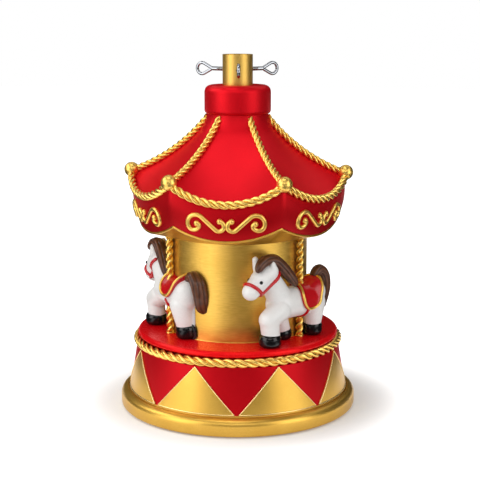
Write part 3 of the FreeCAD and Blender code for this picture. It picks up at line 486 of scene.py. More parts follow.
edge_lines, face_stacks = [], []
for place in range(triangle_count):
    turn = Matrix.Rotation(radians(triangle_turn + 360 * (place + 0.5) / triangle_count), 3, "Z")
    line, rings = [], []
    for (x, z), (next_x, next_z) in zip(triangle_corners, triangle_corners[1:] + triangle_corners[:1]):
        for share in shares(edge_points)[:-1]:
            point = on_wall(x + (next_x - x) * share, z + (next_z - z) * share, relief)
            line.append(turn @ point)
    for rise in shares(face_rows):
        level = triangle_base + (triangle_apex - triangle_base) * rise
        reach = max(half_base * (1 - rise), apex_reach)
        across = [reach * (2 * share - 1) for share in shares(face_columns)]
        front = [turn @ on_wall(x, level, relief) for x in across]
        rings.append(front + [turn @ on_wall(x, level, -relief) for x in reversed(across)])
    edge_lines.append((line, True))
    face_stacks.append((rings, False))
set_in("triangles_gold", ring_mesh(face_stacks), cast_gold, "gold_resin", "gold_triangles")
edging = bead_mesh(edge_lines, highlight_edge_gold, edging_radius, edging_step, edging_sides)
set_in("triangle_edging", edging, highlight_edge_gold, "gold_resin")


# Deck rope: a cast gold rope of three strands that lies on the ledge under the deck's edge.
# Its strands wind to the right, and stand apart on a thin core.
def vectors(operation, first, key, second):
    """A sum on vectors in the rope's tree; the second value goes to the input of its key."""
    return step(rope_tree, "ShaderNodeVectorMath", {0: first, key: second}, operation=operation)[0]


rope_tree, given, path = new_tree("twisted_rope", Strands="Int", Lay="Float", Offset="Float", Radius="Float",
                                  Core="Float", Step="Float", Sides="Int")
strands = step(rope_tree, "GeometryNodeDuplicateElements",
               {"Geometry": path, "Amount": given["Strands"]}, domain="SPLINE")
along = step(rope_tree, "GeometryNodeSplineParameter", {})["Length"]
wind = maths(rope_tree, "DIVIDE", along, given["Lay"])
share = maths(rope_tree, "DIVIDE", strands["Duplicate Index"], given["Strands"])
angle = maths(rope_tree, "MULTIPLY", maths(rope_tree, "ADD", wind, share), 2 * pi)
cosine, sine = maths(rope_tree, "COSINE", angle), maths(rope_tree, "SINE", angle)
normal = step(rope_tree, "GeometryNodeInputNormal", {})[0]
tangent = step(rope_tree, "GeometryNodeInputTangent", {})[0]
side = vectors("CROSS_PRODUCT", tangent, 1, normal)
out = vectors("ADD", vectors("SCALE", normal, "Scale", cosine), 1, vectors("SCALE", side, "Scale", sine))
shift = vectors("SCALE", out, "Scale", given["Offset"])
wound = step(rope_tree, "GeometryNodeSetPosition", {"Geometry": strands["Geometry"], "Offset": shift})[0]
close_tree(rope_tree, given["Finish"], swept(rope_tree, wound, given["Radius"], given["Sides"]),
           swept(rope_tree, path, given["Core"], given["Sides"]))

rope_gold = sprayed("rope_gold", (0.88, 0.58, 0.14), (0.66, 0.38, 0.05), 0.30,
                    metallic=0.92, depth=0.000003, drift=0.12)
rope_step, rope_sides = 0.0008, 12


def rope_mesh(line, diameter, spacing, strand_count=3, strand_share=0.43, core_share=0.40, closed=False):
    """A twisted rope along a line, with a spacing from strand to strand."""
    lay = strand_count * spacing
    if closed:
        length = sum((second - first).length for first, second in zip(line, line[1:] + line[:1]))
        lay = length / round(length / lay)
    strand = diameter / 2 * strand_share
    return grown([(line, closed)], rope_tree, Finish=rope_gold, Strands=strand_count, Lay=lay,
                 Offset=diameter / 2 - strand, Radius=strand, Core=diameter / 2 * core_share,
                 Step=rope_step, Sides=rope_sides)


rope_radius, rope_spacing = 0.1195, 0.012
rope_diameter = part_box("deck_rope")[1].z - rope_low
rope_level = rope_low + rope_diameter / 2
rope_line = [around(degree, rope_radius, rope_level) for degree in range(360)]
deck_rope = rope_mesh(rope_line, rope_diameter, rope_spacing, closed=True)
set_in("deck_rope_gold", deck_rope, rope_gold, "gold_resin", "deck_rope")

# Deck plate: the red disc that the horses stand on, with a rounded edge, let into the top of the plinth wall.
# Its red is painted brighter than the castings', as painted light under the canopy; glossier, it shows the
# drum and hooves.
deck_red_painted_light = sprayed("deck_red_painted_light", (0.82, 0.004, 0.008), (0.70, 0.003, 0.006), 0.26, metallic=0.2, specular=0.25,
                   sheen=(1, 0.4, 0.3), grain=0.0009, depth=0.000006)
deck_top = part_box("deck_plate")[1].z
deck_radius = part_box("deck_plate")[1].x - 0.001
tube_hole = 0.0178
set_in("deck_plate_red", turned(
    (tube_hole, wall_top, 0),
    (deck_radius, wall_top, 0.0026),
    (deck_radius, deck_top, 0.0043),
    (tube_hole, deck_top, 0),
), deck_red_painted_light, "red_resin", "deck_plate")

# Drum wall: the plain gold cylinder in the middle, let into a groove in the deck and another in the soffit.
# Its coat has faint upright streaks; a fine bright gold bead round its foot is a painted highlight along the
# joint.
finished(sprayed("drum_gold", (0.82, 0.51, 0.10), (0.60, 0.32, 0.04), 0.38,
                 metallic=0.9, drift=0.5, brushed=0.12), "drum_wall")
bright_gold = sprayed("bright_gold", (0.86, 0.56, 0.13), (0.66, 0.38, 0.05), 0.36,
                      metallic=0.92, depth=0.000006, drift=0.15)
bead_radius, bead_step, bead_sides = 0.0007, 0.0015, 10
bead_circle, bead_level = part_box("drum_wall")[1].x + 0.0002, deck_top + 0.0004
drum_foot = [around(degree, bead_circle, bead_level) for degree in range(360)]
# This bright bead is a painted highlight at the drum's foot.
drum_foot_highlight = bead_mesh([(drum_foot, True)], bright_gold, bead_radius, bead_step, bead_sides)
set_in("drum_foot_highlight", drum_foot_highlight, bright_gold, "gold_resin")


# Horse poles: cast gold barley-twist rods that run through the horses from the deck up into the soffit.
# A small turned ring closes the foot of each.
def joined(mesh, *others):
    """Adds other meshes to a mesh."""
    sculpt = bmesh.new()
    for part in (mesh, *others):
        sculpt.from_mesh(part)
    sculpt.to_mesh(mesh)
    sculpt.free()
    return mesh


pole_angles = (61.5, 181.5, -58.5)
pole_circle = 0.0873
pole_diameter, pole_spacing, pole_let_in = 0.0094, 0.0088, 0.004
pole_strands, pole_strand_share, pole_core_share = 2, 0.50, 0.30
pole_points, collar_sides = 40, 40
collar_bore, collar_radius, collar_height = 0.0005, 0.0050, 0.0020
collar_corners = [(collar_bore, 0, 0), (collar_radius, 0, 0.0006), (collar_radius, collar_height, 0.001),
                  (collar_bore, collar_height, 0)]
soffit_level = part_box("soffit")[0].z
for place, angle in enumerate(pole_angles, start=1):
    foot = around(angle, pole_circle, deck_top + collar_height / 2)
    head = around(angle, pole_circle, soffit_level + pole_let_in)
    line = [foot.lerp(head, share) for share in shares(pole_points)]
    rod = rope_mesh(line, pole_diameter, pole_spacing, pole_strands, pole_strand_share, pole_core_share)
    collar = ring_mesh([spun(collar_corners, collar_sides, around(angle, pole_circle, deck_top))])
    pole = outward(joined(rod, collar), 60)
    set_in(f"horse_pole_gold_{place}", pole, rope_gold, "gold_resin", f"horse_pole_{place}")

# Soffit: the gold underside of the canopy, a shallow dish from the drum out to a scalloped edge.
# A slim round lip on its rim shows as a gold line under the red valance that stands on it.
panel_count = 6
half_panel = 180 / panel_count
panel_steps = 40
edge_middle, edge_corner = (0.1126, soffit_level + 0.0094), (0.1200, soffit_level + 0.0241)
settling_steps = 20


def hanging(middle, corner, angle):
    """Radius, level and nearness to the panel's middle of a hanging arc at an angle of its panel."""
    half_turn = radians(half_panel)
    half_chord = corner[0] * sin(half_turn)
    chord_reach = corner[0] * cos(half_turn)
    out, drop = middle[0] - chord_reach, middle[1] - corner[1]
    sag = hypot(out, drop)
    arc_radius = (half_chord ** 2 + sag ** 2) / (2 * sag)
    reach = middle[0]
    for settling in range(settling_steps):
        across = reach * tan(radians(angle))
        share = (sqrt(max(arc_radius ** 2 - across ** 2, 0)) - arc_radius + sag) / sag
        reach = chord_reach + share * out
    return hypot(reach, across), corner[1] + share * drop, share


def panel_ring(outline_at):
    """A skin round all the panels from the outline at each angle of a panel."""
    columns = []
    for panel in range(panel_count):
        for share in shares(panel_steps)[:-1]:
            local = half_panel * (2 * share - 1)
            angle = 360 * panel / panel_count + local
            columns.append([around(angle, *point) for point in outline_at(local)])
    return ring_mesh([(columns, True)])


lip_radius = 0.00155
soffit_bore, soffit_shoulder, soffit_thickness = 0.070, 0.085, 0.006
valance_thickness = 0.0035
spigot_gap, spigot_height = 0.0002, 0.004


def soffit_outline(angle):
    """The soffit's outline at an angle of a panel, with its lip and the spigot for the valance."""
    radius, level = hanging(edge_middle, edge_corner, angle)[:2]
    lip = [(radius + (cos(turn) - 1) * lip_radius, level + (sin(turn) - 1) * lip_radius)
           for turn in (radians(slant) for slant in range(-90, 91, 20))]
    spigot = radius - valance_thickness - spigot_gap
    return [(soffit_bore, soffit_level), (soffit_shoulder, soffit_level), *lip, (spigot, level),
            (spigot, level + spigot_height), (soffit_bore, soffit_level + soffit_thickness)]


set_in("soffit_gold", panel_ring(soffit_outline), cast_gold, "gold_resin", "soffit")

# Canopy shell: the six-sided roof and its valance, one red casting that hangs in scallops from the corners.
# The roof sags a little from its neck to the eaves, and the valance swells under them.
swag_middle, swag_corner = (0.1195, soffit_level + 0.0502), (0.1268, soffit_level + 0.0710)
swag_diameter, swag_sink = 0.0095, 0.0014
swag_lean = radians(32)
valance_bulge = 0.0035
roof_top = (0.0345, soffit_level + 0.132)
roof_sag_middle, roof_sag_corner = 0.0060, 0.0075
roof_thickness = 0.006
cap_low, cap_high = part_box("collar_cap")
neck_radius, neck_let_in = 0.0352, 0.001
roof_rows, valance_rows = 24, 16
flare_end, flare_rows = 0.12, 10
worn_in, worn_down = 0.0003, 0.0001


def eave_at(angle):
    """The shell's edge behind the swag, which lies against it."""
    radius, level, share = hanging(swag_middle, swag_corner, angle)
    seat = swag_diameter / 2 - swag_sink
    return radius - seat * cos(swag_lean), level - seat * sin(swag_lean), share


def roof_at(angle, share):
    """A point of the roof's outer face, from its top at share 0 to the eave at 1."""
    radius, level, nearness = eave_at(angle)
    run, fall = radius - roof_top[0], level - roof_top[1]
    length = hypot(run, fall)
    sag = roof_sag_corner + nearness * (roof_sag_middle - roof_sag_corner)
    dip = 4 * sag * share * (1 - share)
    return roof_top[0] + run * share + dip * fall / length, roof_top[1] + fall * share - dip * run / length


def valance_at(angle, share):
    """A point of the valance's outer face, from the eave at share 0 to its lower edge at 1."""
    eave = eave_at(angle)
    edge = hanging(edge_middle, edge_corner, angle)
    swell = 4 * valance_bulge * share * (1 - share)
    return eave[0] + (edge[0] - eave[0]) * share + swell, eave[1] + (edge[1] - eave[1]) * share


def canopy_outline(angle):
    """The shell's outline at an angle of a panel, down outside and back up inside."""
    roof = [roof_at(angle, flare_end + (1 - flare_end) * share) for share in shares(roof_rows)]
    neck = Vector((neck_radius, cap_low.z + neck_let_in))
    first, second = Vector(roof[0]), Vector(roof[1])
    climb = (first.x - neck_radius) / (second.x - first.x)
    bend = Vector((neck_radius, first.y + (first.y - second.y) * climb)).lerp(neck.lerp(first, 0.5), 0.5)
    flare = [neck.lerp(bend, share).lerp(bend.lerp(first, share), share) for share in shares(flare_rows)[:-1]]
    valance = [valance_at(angle, share) for share in shares(valance_rows)[1:]]
    edge_radius, edge_level = valance[-1]
    inner = [(radius - valance_thickness, level) for radius, level in reversed(valance)]
    under = [(radius - roof_thickness, level - roof_thickness) for radius, level in reversed(roof[:-1])]
    return [*flare, *roof, *valance, (edge_radius - worn_in, edge_level - worn_down), *inner, *under]


set_in("canopy_red", panel_ring(canopy_outline), cast_red, "red_resin", "canopy_shell")


# Swag ropes, rib ropes and balls: cast gold ropes glued along the eaves and down the ridges of the roof.
# They meet at the corners, where a gold ball covers their ends.
def ball_sculpt(balls, segments, rings):
    """A sculpt of balls, each a centre and a radius."""
    sculpt = bmesh.new()
    for centre, radius in balls:
        bmesh.ops.create_uvsphere(sculpt, u_segments=segments, v_segments=rings, radius=radius,
                                  matrix=Matrix.Translation(centre))
    return sculpt


def sculpted(sculpt):
    """The smooth mesh of a finished sculpt."""
    mesh = bpy.data.meshes.new("sculpt")
    sculpt.to_mesh(mesh)
    sculpt.free()
    return outward(mesh, 180)


rib_diameter, rib_sink = 0.0084, 0.0014
rib_start, rib_glance = -0.03, 0.01
swag_spacing, rib_spacing = 0.0096, 0.0075
swag_half = half_panel - 1.6
rope_points = 60
ball_radius = 0.0088
balls_low, balls_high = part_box("corner_balls")
ball_circle = balls_high.x - (balls_high.z - balls_low.z) / 2 + 0.0004
ball_level = (balls_low.z + balls_high.z) / 2 - 0.0030
balls = []
for place in range(1, panel_count + 1):
    turn = 360 * (place - 1) / panel_count
    swag_line, rib_line = [], []
    for share in shares(rope_points):
        local = swag_half * (2 * share - 1)
        swag_line.append(around(turn + local, *hanging(swag_middle, swag_corner, local)[:2]))
        share = rib_start + (1 - rib_start) * share
        here, ahead = Vector(roof_at(half_panel, share)), Vector(roof_at(half_panel, share + rib_glance))
        along = (ahead - here).normalized()
        lifted = here + Vector((-along.y, along.x)) * (rib_diameter / 2 - rib_sink)
        rib_line.append(around(turn + half_panel, *lifted))
    for kind, line, diameter, spacing in (("swag", swag_line, swag_diameter, swag_spacing),
                                          ("rib", rib_line, rib_diameter, rib_spacing)):
        rope = rope_mesh(line, diameter, spacing)
        set_in(f"{kind}_rope_gold_{place}", rope, rope_gold, "gold_resin", f"{kind}_rope_{place}")
    balls.append((around(turn + half_panel, ball_circle, ball_level), ball_radius))
set_in("corner_balls_gold", sculpted(ball_sculpt(balls, 40, 24)), bright_gold, "gold_resin", "corner_balls")

# Scrolls: on each panel a pair of mirrored gold S-scrolls with bulbs at their ends, raised on the valance.
# Each starts in a hook near the panel's middle, runs over a crown and curls in under it.
scroll_level = soffit_level + 0.030
scroll_bead, scroll_bulb = 0.0026, 0.0034
scroll_step, scroll_sides = 0.0006, 16
hook_centre, hook_radius, hook_start = Vector((0.0075, -0.0034)), 0.0056, 100
crown_centre, crown_radius, crown_end = Vector((0.033, -0.0002)), 0.0092, -35
bend_radius, bend_end = 0.0062, -160
curl_radius, curl_end = 0.0026, -270


def circle_point(centre, radius, bearing):
    """A point of a circle in a scroll's flat drawing."""
    return centre + Vector((cos(radians(bearing)), sin(radians(bearing)))) * radius


def arc_points(centre, radius, start, end, spacing=0.0005):
    """The points of an arc in a scroll's flat drawing."""
    count = max(2, int(abs(radians(end - start)) * radius / spacing))
    return [circle_point(centre, radius, start + (end - start) * share) for share in shares(count)]


between = crown_centre - hook_centre
slant = degrees(atan2(between.y, between.x))
lean = degrees(acos((hook_radius + crown_radius) / between.length))
bend_centre = circle_point(crown_centre, crown_radius - bend_radius, crown_end)
curl_centre = circle_point(bend_centre, bend_radius - curl_radius, bend_end)
half_scroll = [
    *arc_points(hook_centre, hook_radius, hook_start, slant - lean + 360),
    *arc_points(crown_centre, crown_radius, slant - lean + 180, crown_end),
    *arc_points(bend_centre, bend_radius, crown_end, bend_end)[1:],
    *arc_points(curl_centre, curl_radius, bend_end, curl_end)[1:],
]


def on_valance(across, level):
    """The point of the front panel's valance at a distance from its middle and a level."""
    radius = edge_middle[0]
    for settling in range(settling_steps):
        angle = degrees(asin(across / radius))
        eave, edge = eave_at(angle), hanging(edge_middle, edge_corner, angle)
        radius = valance_at(angle, (eave[1] - level) / (eave[1] - edge[1]))[0]
    return Vector((across, -sqrt(radius ** 2 - across ** 2), level))


for place in range(1, panel_count + 1):
    turn = Matrix.Rotation(2 * pi * (place - 1) / panel_count, 3, "Z")
    lines = []
    for side in (1, -1):
        line = [turn @ on_valance(side * point.x, scroll_level + point.y) for point in half_scroll]
        lines.append((line, False))
    scroll = bead_mesh(lines, bright_gold, scroll_bead, scroll_step, scroll_sides, scroll_bulb)
    set_in(f"scroll_gold_{place}", scroll, bright_gold, "gold_resin", f"scroll_{place}")

# Cap: the red collar with rounded edges on the top of the roof, which hides the washer and lock nut.
# It is a casting of its own; its steep sides get less painted shade than the other red castings.
cap_bore, cap_thickness = 0.0327, 0.005
set_in("collar_cap_red", turned(
    (cap_bore, cap_low.z, 0),
    (cap_high.x, cap_low.z, 0.0045),
    (cap_high.x, cap_high.z, 0.0080),
    (tube_hole, cap_high.z, 0.0003),
    (tube_hole, cap_high.z - cap_thickness, 0),
    (cap_bore, cap_high.z - cap_thickness, 0),
), cast_red_shaded("cap_red", 0.25), "red_resin", "collar_cap")

# Pole tube: a drawn steel tube with a satin gold lacquer, which runs down to the base plate.
# It is tapped near its top for three screws.
finished(sprayed("tube_gold", (0.66, 0.42, 0.10), (0.55, 0.32, 0.06), 0.46,
                 metallic=1.0, depth=0.000008, drift=0.15), "pole_tube")

# Eye screws: chromed steel, each a threaded shank whose end is bent round into an open eye for the fingers.
# They turn in the tube's tapped holes; a nylon tip on the end of each presses on the pole.
chrome = sprayed("chrome", (0.34, 0.35, 0.37), (0.30, 0.31, 0.33), 0.08, metallic=1.0, depth=0.000001)
nylon = sprayed("nylon", (0.74, 0.72, 0.66), (0.66, 0.63, 0.56), 0.5)
screw_count, screw_turn, screw_level = 3, 7.5, 0.398
shank_start, thread_end, neck_reach = 0.01575, 0.0270, 0.0335
shank_radius, shank_step, shank_sides = 0.00245, 0.001, 24
thread_pitch, thread_depth, thread_sides = 0.0008, 0.00035, 20
eye_reach, eye_radius = 0.0476, 0.0065
wire_radius, wire_step, wire_sides = 0.0019, 0.0005, 16
thread_points, loop_points = 20, 120
for place in range(1, screw_count + 1):
    angle = screw_turn + 360 * (place - 1) / screw_count
    thread_line = [around(angle, shank_start + (thread_end - shank_start) * share, screw_level)
                   for share in shares(thread_points)]
    screw = grown([(thread_line, False)], rope_tree, Finish=chrome, Strands=1, Lay=thread_pitch,
                  Offset=shank_radius - thread_depth, Radius=thread_depth, Core=shank_radius - thread_depth,
                  Step=thread_pitch / 16, Sides=thread_sides)
    neck = around(angle, neck_reach, screw_level)
    shank_line = [around(angle, thread_end, screw_level), neck]
    shank = bead_mesh([(shank_line, False)], chrome, shank_radius, shank_step, shank_sides, shank_radius)
    opening = degrees(acos(eye_radius / (eye_reach - neck_reach)))
    loop = [neck]
    for share in shares(loop_points):
        turn = radians(180 - opening - (360 - 2 * opening) * share)
        reach, rise = eye_radius * cos(turn), eye_radius * sin(turn)
        loop.append(around(angle, eye_reach + reach, screw_level + rise))
    eye = bead_mesh([(loop, True)], chrome, wire_radius, wire_step, wire_sides)
    joined(screw, shank, eye).shade_smooth()
    set_in(f"eye_screw_chrome_{place}", screw, chrome, "chrome_wire", f"eye_screw_{place}",
           body=f"screw_{place}")
    finished(nylon, f"screw_tip_{place}")

# Horses: three ponies cast in resin and painted, each in one piece with its legs, on a pole and four hooves.
# They are shaped in millimetres from the foot of the pole, with x forward, y to the left and z up.
# The third, in front on the left, bows its head.
horse_white = sprayed("horse_white", (0.83, 0.82, 0.80), (0.70, 0.68, 0.65), 0.36, grain=0.0016, drift=0.3)
hoof_black = sprayed("hoof_black", (0.004, 0.004, 0.005), (0.008, 0.007, 0.007), 0.16,
                     specular=0.35, depth=0.000004)
millimetre = 0.001
stances = ((10.5, 5, 1.5), (12, -8, -2), (-3, -5, -9.5))
drum_clear, hoof_clear = 0.0823, 0.0838
skin_voxel, skin_smoothing = 0.9, 12


def limb(first, first_radius, last, last_radius):
    """The skin round two balls, which is a tapered limb with round ends."""
    sculpt = ball_sculpt([(first, first_radius), (last, last_radius)], 32, 20)
    hull = bmesh.ops.convex_hull(sculpt, input=sculpt.verts)
    inside = [part for part in hull["geom_interior"] if isinstance(part, bmesh.types.BMVert)]
    bmesh.ops.delete(sculpt, geom=inside, context="VERTS")
    return sculpted(sculpt)


def blended(limbs):
    """One soft skin over limbs that run into each other."""
    thing = placed("limbs", joined(*[limb(*one) for one in limbs]))
    remesh = thing.modifiers.new("remesh", "REMESH")
    remesh.mode = "VOXEL"
    remesh.voxel_size = skin_voxel
    soften = thing.modifiers.new("soften", "SMOOTH")
    soften.factor = 0.5
    soften.iterations = skin_smoothing
    return outward(made_from(thing), 180)


ears_and_legs = [
    ((50, 8, 87), 6.4, (52, 10, 96), 2.6),
    ((59, -7, 89), 5.6, (61.5, -8.5, 99.5), 3.4),
    ((36, 6, 40), 13.2, (54, 6, 31), 11.6),
    ((53.5, 6, 31.5), 11.2, (50.5, 6, 10), 10.6),
    ((30, -7, 38), 11.7, (18, -7, 10), 9.4),
    ((-20, 6, 40), 14.2, (-22.5, 2, 10), 9.8),
    ((-19, -6, 39), 13.2, (-24, -5.5, 10), 9.6),
]
head_up = [
    ((-20, 0, 43.5), 17.8, (28, 0, 44.5), 18.1),
    ((-18, 0, 46), 17.6, (-22.5, 0, 50.5), 17.0),
    ((30, 0, 51), 14.7, (50, 0, 80), 12.0),
    ((51, 0, 83), 12.9, (62, 0, 76.5), 12.0),
    ((63, 0, 75), 11.4, (77, 0, 66.2), 9.7),
]
head_bowed = [
    ((-20, 0, 49), 18.2, (28, 0, 49.5), 18.4),
    ((-18, 0, 51), 17.8, (-22.5, 0, 55), 17.0),
    ((30, 0, 55), 15.6, (48.5, 0, 79), 13.2),
    ((51, 0, 82), 13.4, (60.5, 0, 74), 12.6),
    ((62, 0, 72), 11.8, (71.5, 0, 58.5), 10.2),
]


def dressed(name, mesh, finish, slot, place, *replaced, clear=drum_clear):
    """Sets a horse's piece on its pole, clear of the drum."""
    copy = mesh.copy()
    angle, (turn_in, forward, leftward) = pole_angles[place - 1], stances[place - 1]
    copy.transform(Matrix.Translation(around(angle, pole_circle, deck_top))
                   @ Matrix.Rotation(radians(180 + angle - turn_in), 4, "Z")
                   @ Matrix.Scale(millimetre, 4) @ Matrix.Translation((forward, leftward, 0)))
    for vertex in copy.vertices:
        radius = hypot(vertex.co.x, vertex.co.y)
        if radius < clear:
            vertex.co.x *= clear / radius
            vertex.co.y *= clear / radius
    copy.update()
    set_in(f"{name}_{place}", copy, finish, slot, *[f"{node}_{place}" for node in replaced])


hoof_bore, hoof_sides = 0.4, 56
hoof_stacks = []
for x, y, radius, height in (
        (52, 6, 12.8, 16), (18, -7, 10.8, 15), (-22.5, 2, 12, 18), (-24, -5.5, 11.6, 18)):
    corners = [(hoof_bore, 0, 0), (radius, 0, 5.0), (radius, height, 7.0), (hoof_bore, height, 0)]
    hoof_stacks.append(spun(corners, hoof_sides, Vector((x, y, 0))))
hooves = ring_mesh(hoof_stacks)
body_skins = []
for place, trunk in enumerate((head_up, head_up, head_bowed), start=1):
    body = blended([*trunk, *ears_and_legs])
    body_skins.append(BVHTree.FromPolygons([vertex.co for vertex in body.vertices],
                                           [face.vertices for face in body.polygons]))
    dressed("horse_body_white", body, horse_white, "white_resin", place, "horse_body")
    dressed("horse_hooves_black", hooves, hoof_black, "black_resin", place, "horse_hooves", clear=hoof_clear)

# Manes and tails: brown hair, one thick lock each, with grooves along it for its strands.
# The mane falls to the left of the neck from a forelock between the ears; the tail is carried high.
hair_brown, hair_tree = new_material("hair_brown")
strand = step(hair_tree, "ShaderNodeAttribute", {}, attribute_name="ridge")["Fac"]
hair_place = step(hair_tree, "ShaderNodeTexCoord", {})["Object"]
hair_clouds = step(hair_tree, "ShaderNodeTexNoise", {"Vector": hair_place, "Scale": 160.0, "Detail": 3.0})[0]
# The hair is painted lighter on its strands' ridges and darker in the grooves, as painted highlight and
# shade; clouds add a real drift in tone.
ridge_highlight_groove_shade = ranged(hair_tree, maths(hair_tree, "MULTIPLY", strand, hair_clouds), 0.12, 0.62, 0.0, 1.0)
plug(hair_tree, hair_tree.nodes["Principled BSDF"], {
    "Base Color": mixed(hair_tree, ridge_highlight_groove_shade, (0.040, 0.013, 0.006, 1), (0.150, 0.054, 0.024, 1)),
    "Roughness": 0.30,
    "Specular IOR Level": 0.35,
})
lock_stations, lock_sides = 90, 72
lock_glance, ridge_power = 0.01, 0.6


def between_stations(stations, share):
    """A smooth passage through the stations of a lock, each x, y, z, half width and half thickness."""
    share = min(max(share, 0), 1) * (len(stations) - 1)
    first = min(int(share), len(stations) - 2)
    part = share - first
    before, here = stations[max(first - 1, 0)], stations[first]
    there, after = stations[first + 1], stations[min(first + 2, len(stations) - 1)]
    return 0.5 * (2 * here + (there - before) * part
                  + (2 * before - 5 * here + 4 * there - after) * part ** 2
                  + (3 * here - before - 3 * there + after) * part ** 3)


def turns(count):
    """The angles of a whole turn in like steps."""
    return [2 * pi * stop / count for stop in range(count)]


def lock(stations, grooves, depth, twist):
    """A thick lock of hair swept through its stations, grooved along its length."""
    stations = [Vector(station) for station in stations]
    rings, ridges = [], []
    for share in shares(lock_stations):
        here = between_stations(stations, share)
        ahead = between_stations(stations, share + lock_glance)
        along = Vector((ahead - between_stations(stations, share - lock_glance))[:3]).normalized()
        side = (Vector((0, 1, 0)) - along * along.y).normalized()
        up = side.cross(along)
        ring = []
        for turn in turns(lock_sides):
            ridge = abs(sin(grooves * turn / 2 + twist * share)) ** ridge_power
            size = 1 - depth * (1 - ridge)
            across, rise = here[3] * size * cos(turn), here[4] * size * sin(turn)
            ring.append(Vector(here[:3]) + side * across + up * rise)
            ridges.append(ridge)
        rings.append(ring)
    return ring_mesh([(rings, False)], 50, ridges)


mane = lock([
    (71, 4.5, 87.5, 1.4, 1.4), (69.5, 4.5, 90.5, 4.4, 4.2), (64, 4, 96, 6.4, 5.8),
    (55, 3.5, 99.5, 7.4, 6.0), (45, 4, 98.5, 8.4, 6.4), (36, 5, 92, 8.6, 6.8),
    (26, 6, 82, 8.2, 6.6), (17, 7.5, 71.5, 6.6, 5.4), (12, 8, 65, 3.2, 2.8),
], 9, 0.13, 2.2)
hair_line = [(-26, 58), (-29, 70), (-37, 74.5), (-45, 67), (-48, 55), (-47.5, 45), (-46, 36), (-45.5, 28.5)]
narrow_tail = [(3.6, 3.6), (6.4, 5.4), (7.2, 6.2), (7.2, 6.2), (6.8, 5.2), (5.8, 4.2), (4.2, 3.2), (2.0, 1.8)]
wide_tail = [(3.6, 3.6), (6.8, 5.4), (8.6, 6.2), (9.4, 6.2), (9.4, 5.2), (9.2, 4.6), (8.0, 4.0), (4.0, 2.4)]
tail_swings = ((0, 0, narrow_tail), (-4, 0, narrow_tail), (-11, 5, wide_tail))
for place, (curl, rise, widths) in enumerate(tail_swings, start=1):
    swung = []
    for (x, z), width, share in zip(hair_line, widths, shares(len(hair_line) - 1)):
        swung.append((x, curl * share ** 2, z + rise * share ** 2, *width))
    dressed("horse_mane_brown", mane, hair_brown, "brown_resin", place, "horse_mane")
    dressed("horse_tail_brown", lock(swung, 9, 0.12, 1.8), hair_brown, "brown_resin", place, "horse_tail")

# Saddles: a dished red pad moulded over the back, with raised ends, gold piping, a red hem and a girth.
# The bridle is as red, a noseband with a cheek strap on each side that runs up behind the ear.
saddle_red = sprayed("saddle_red", (0.55, 0.003, 0.008), (0.36, 0.002, 0.006), 0.24, depth=0.00001)
saddle_middle, saddle_slant = -3.5, 8
saddle_reach, saddle_heart = 17.6, 17.59
saddle_drops = (38, 38, 32)
saddle_rises = ((0.8, 0.4), (0.8, 0.4), (3.0, 7.0))
saddle_bend = 19.0
saddle_steps = 120
saddle_bed = -0.5
length_power, drop_power = 2.3, 3.4
axis_levels = (44, 44, 49.5)
piping_inset, piping_radius, hem_radius = 1.4, 1.6, 0.9
trim_step, trim_sides = 0.7, 12
skin_reach = 60


def on_body(skin, centre, direction, lift):
    """The point over a horse's skin in a direction from a centre, found by a ray from far out."""
    direction = Vector(direction)
    return skin.ray_cast(Vector(centre) + direction * skin_reach, -direction)[0] + direction * lift


def saddle_lift(inset, along, drop, rise):
    """The pad's height over the skin at a distance in from its edge, a place along it and an angle down."""
    edge = 0.5 + 1.3 * min(inset / 0.8, 1)
    crest = max(cos(drop), 0) ** 2
    cantle = max(-along / saddle_reach, 0) ** 1.5
    pommel = max(along / saddle_reach, 0) ** 2
    return edge + (1.0 + crest * (rise[0] * cantle + rise[1] * pommel)) * exp(-(inset / 5.0) ** 2)


def lozenge(share, power, reach):
    """One way across a rounded lozenge, which is the squarer the higher its power."""
    return copysign(abs(share) ** (2 / power) * reach, share)


def saddle_ring(skin, axis_level, saddle_drop, rise, inset, lift=None):
    """A ring of points on the pad at a distance in from its edge."""
    ring = []
    for turn in turns(saddle_steps):
        along = lozenge(cos(turn), length_power, saddle_reach - inset)
        drop = lozenge(sin(turn), drop_power, saddle_drop - inset) / saddle_bend
        raised = saddle_lift(inset, along, drop, rise) if lift is None else lift
        middle = saddle_middle - saddle_slant * max(cos(drop), 0) ** 2 + along
        ring.append(on_body(skin, (middle, 0, axis_level), (0, sin(drop), cos(drop)), raised))
    return ring


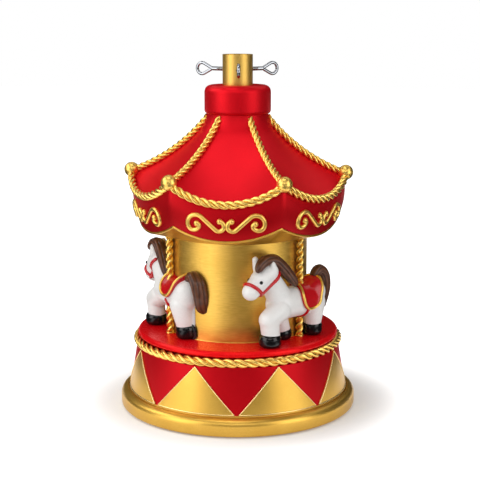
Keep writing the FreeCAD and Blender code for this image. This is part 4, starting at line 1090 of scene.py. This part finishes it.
insets = [0, 0.2, 0.5, 0.9, 1.4, 2, 2.8, 3.6, 4.6, 6, 8, 10, 12.5, 15, saddle_heart]
for place, cut in enumerate(zip(body_skins, axis_levels, saddle_drops, saddle_rises), start=1):
    rings = [saddle_ring(*cut, saddle_heart, saddle_bed), saddle_ring(*cut, 0, saddle_bed)]
    rings += [saddle_ring(*cut, inset) for inset in insets]
    pad = ring_mesh([(list(zip(*rings)), True)])
    dressed("horse_saddle_red", pad, saddle_red, "red_resin", place, "horse_saddle")
    for name, inset, radius, finish, slot in (
            ("horse_saddle_edging", 0, hem_radius, saddle_red, "red_resin"),
            ("horse_saddle_piping", piping_inset, piping_radius, bright_gold, "gold_resin")):
        trim = bead_mesh([(saddle_ring(*cut, inset), True)], finish, radius, trim_step, trim_sides)
        dressed(name, trim, finish, slot, place)

strap_radius, strap_lift = 2.0, 0.6
girth_middle, girth_lift, girth_start, girth_sweep = saddle_middle + 3, 0.2, 112, 136
girth_points, noseband_points, cheek_points = 40, 64, 30
horse_eye_radius = 2.0
up_bridle = ((75.2, 0, 70.0), (0.73, 0, 0.68), (68.4, 0, 63), (40.4, 0, 84), (70, 0, 77))
bowed_bridle = ((69.6, 0, 62.6), (0.82, 0, 0.58), (64.5, 0, 55), (40.4, 0, 82), (66.5, 0, 73.5))
bridles = (up_bridle, up_bridle, bowed_bridle)
for place, (skin, axis_level, points) in enumerate(zip(body_skins, axis_levels, bridles), start=1):
    nose, nose_rise, cheek_low, cheek_high, eye = [Vector(point) for point in points]
    girth, noseband, eyes = [], [], []
    for share in shares(girth_points):
        drop = radians(girth_start + girth_sweep * share)
        direction = (0, sin(drop), cos(drop))
        girth.append(on_body(skin, (girth_middle, 0, axis_level), direction, girth_lift))
    for turn in turns(noseband_points):
        direction = Vector((0, 1, 0)) * cos(turn) + nose_rise * sin(turn)
        noseband.append(skin.ray_cast(nose, direction)[0] + direction * strap_lift)
    straps = [(girth, False), (noseband, True)]
    for side in ((0, 1, 0), (0, -1, 0)):
        cheek = [on_body(skin, cheek_low.lerp(cheek_high, share), side, strap_lift)
                 for share in shares(cheek_points)]
        straps.append((cheek, False))
        eyes.append((on_body(skin, eye, side, 0), horse_eye_radius))
    bridle = bead_mesh(straps, saddle_red, strap_radius, trim_step, trim_sides, strap_radius)
    dressed("horse_straps", bridle, saddle_red, "red_resin", place)
    dressed("horse_eyes", sculpted(ball_sculpt(eyes, 24, 16)), hoof_black, "black_resin", place)
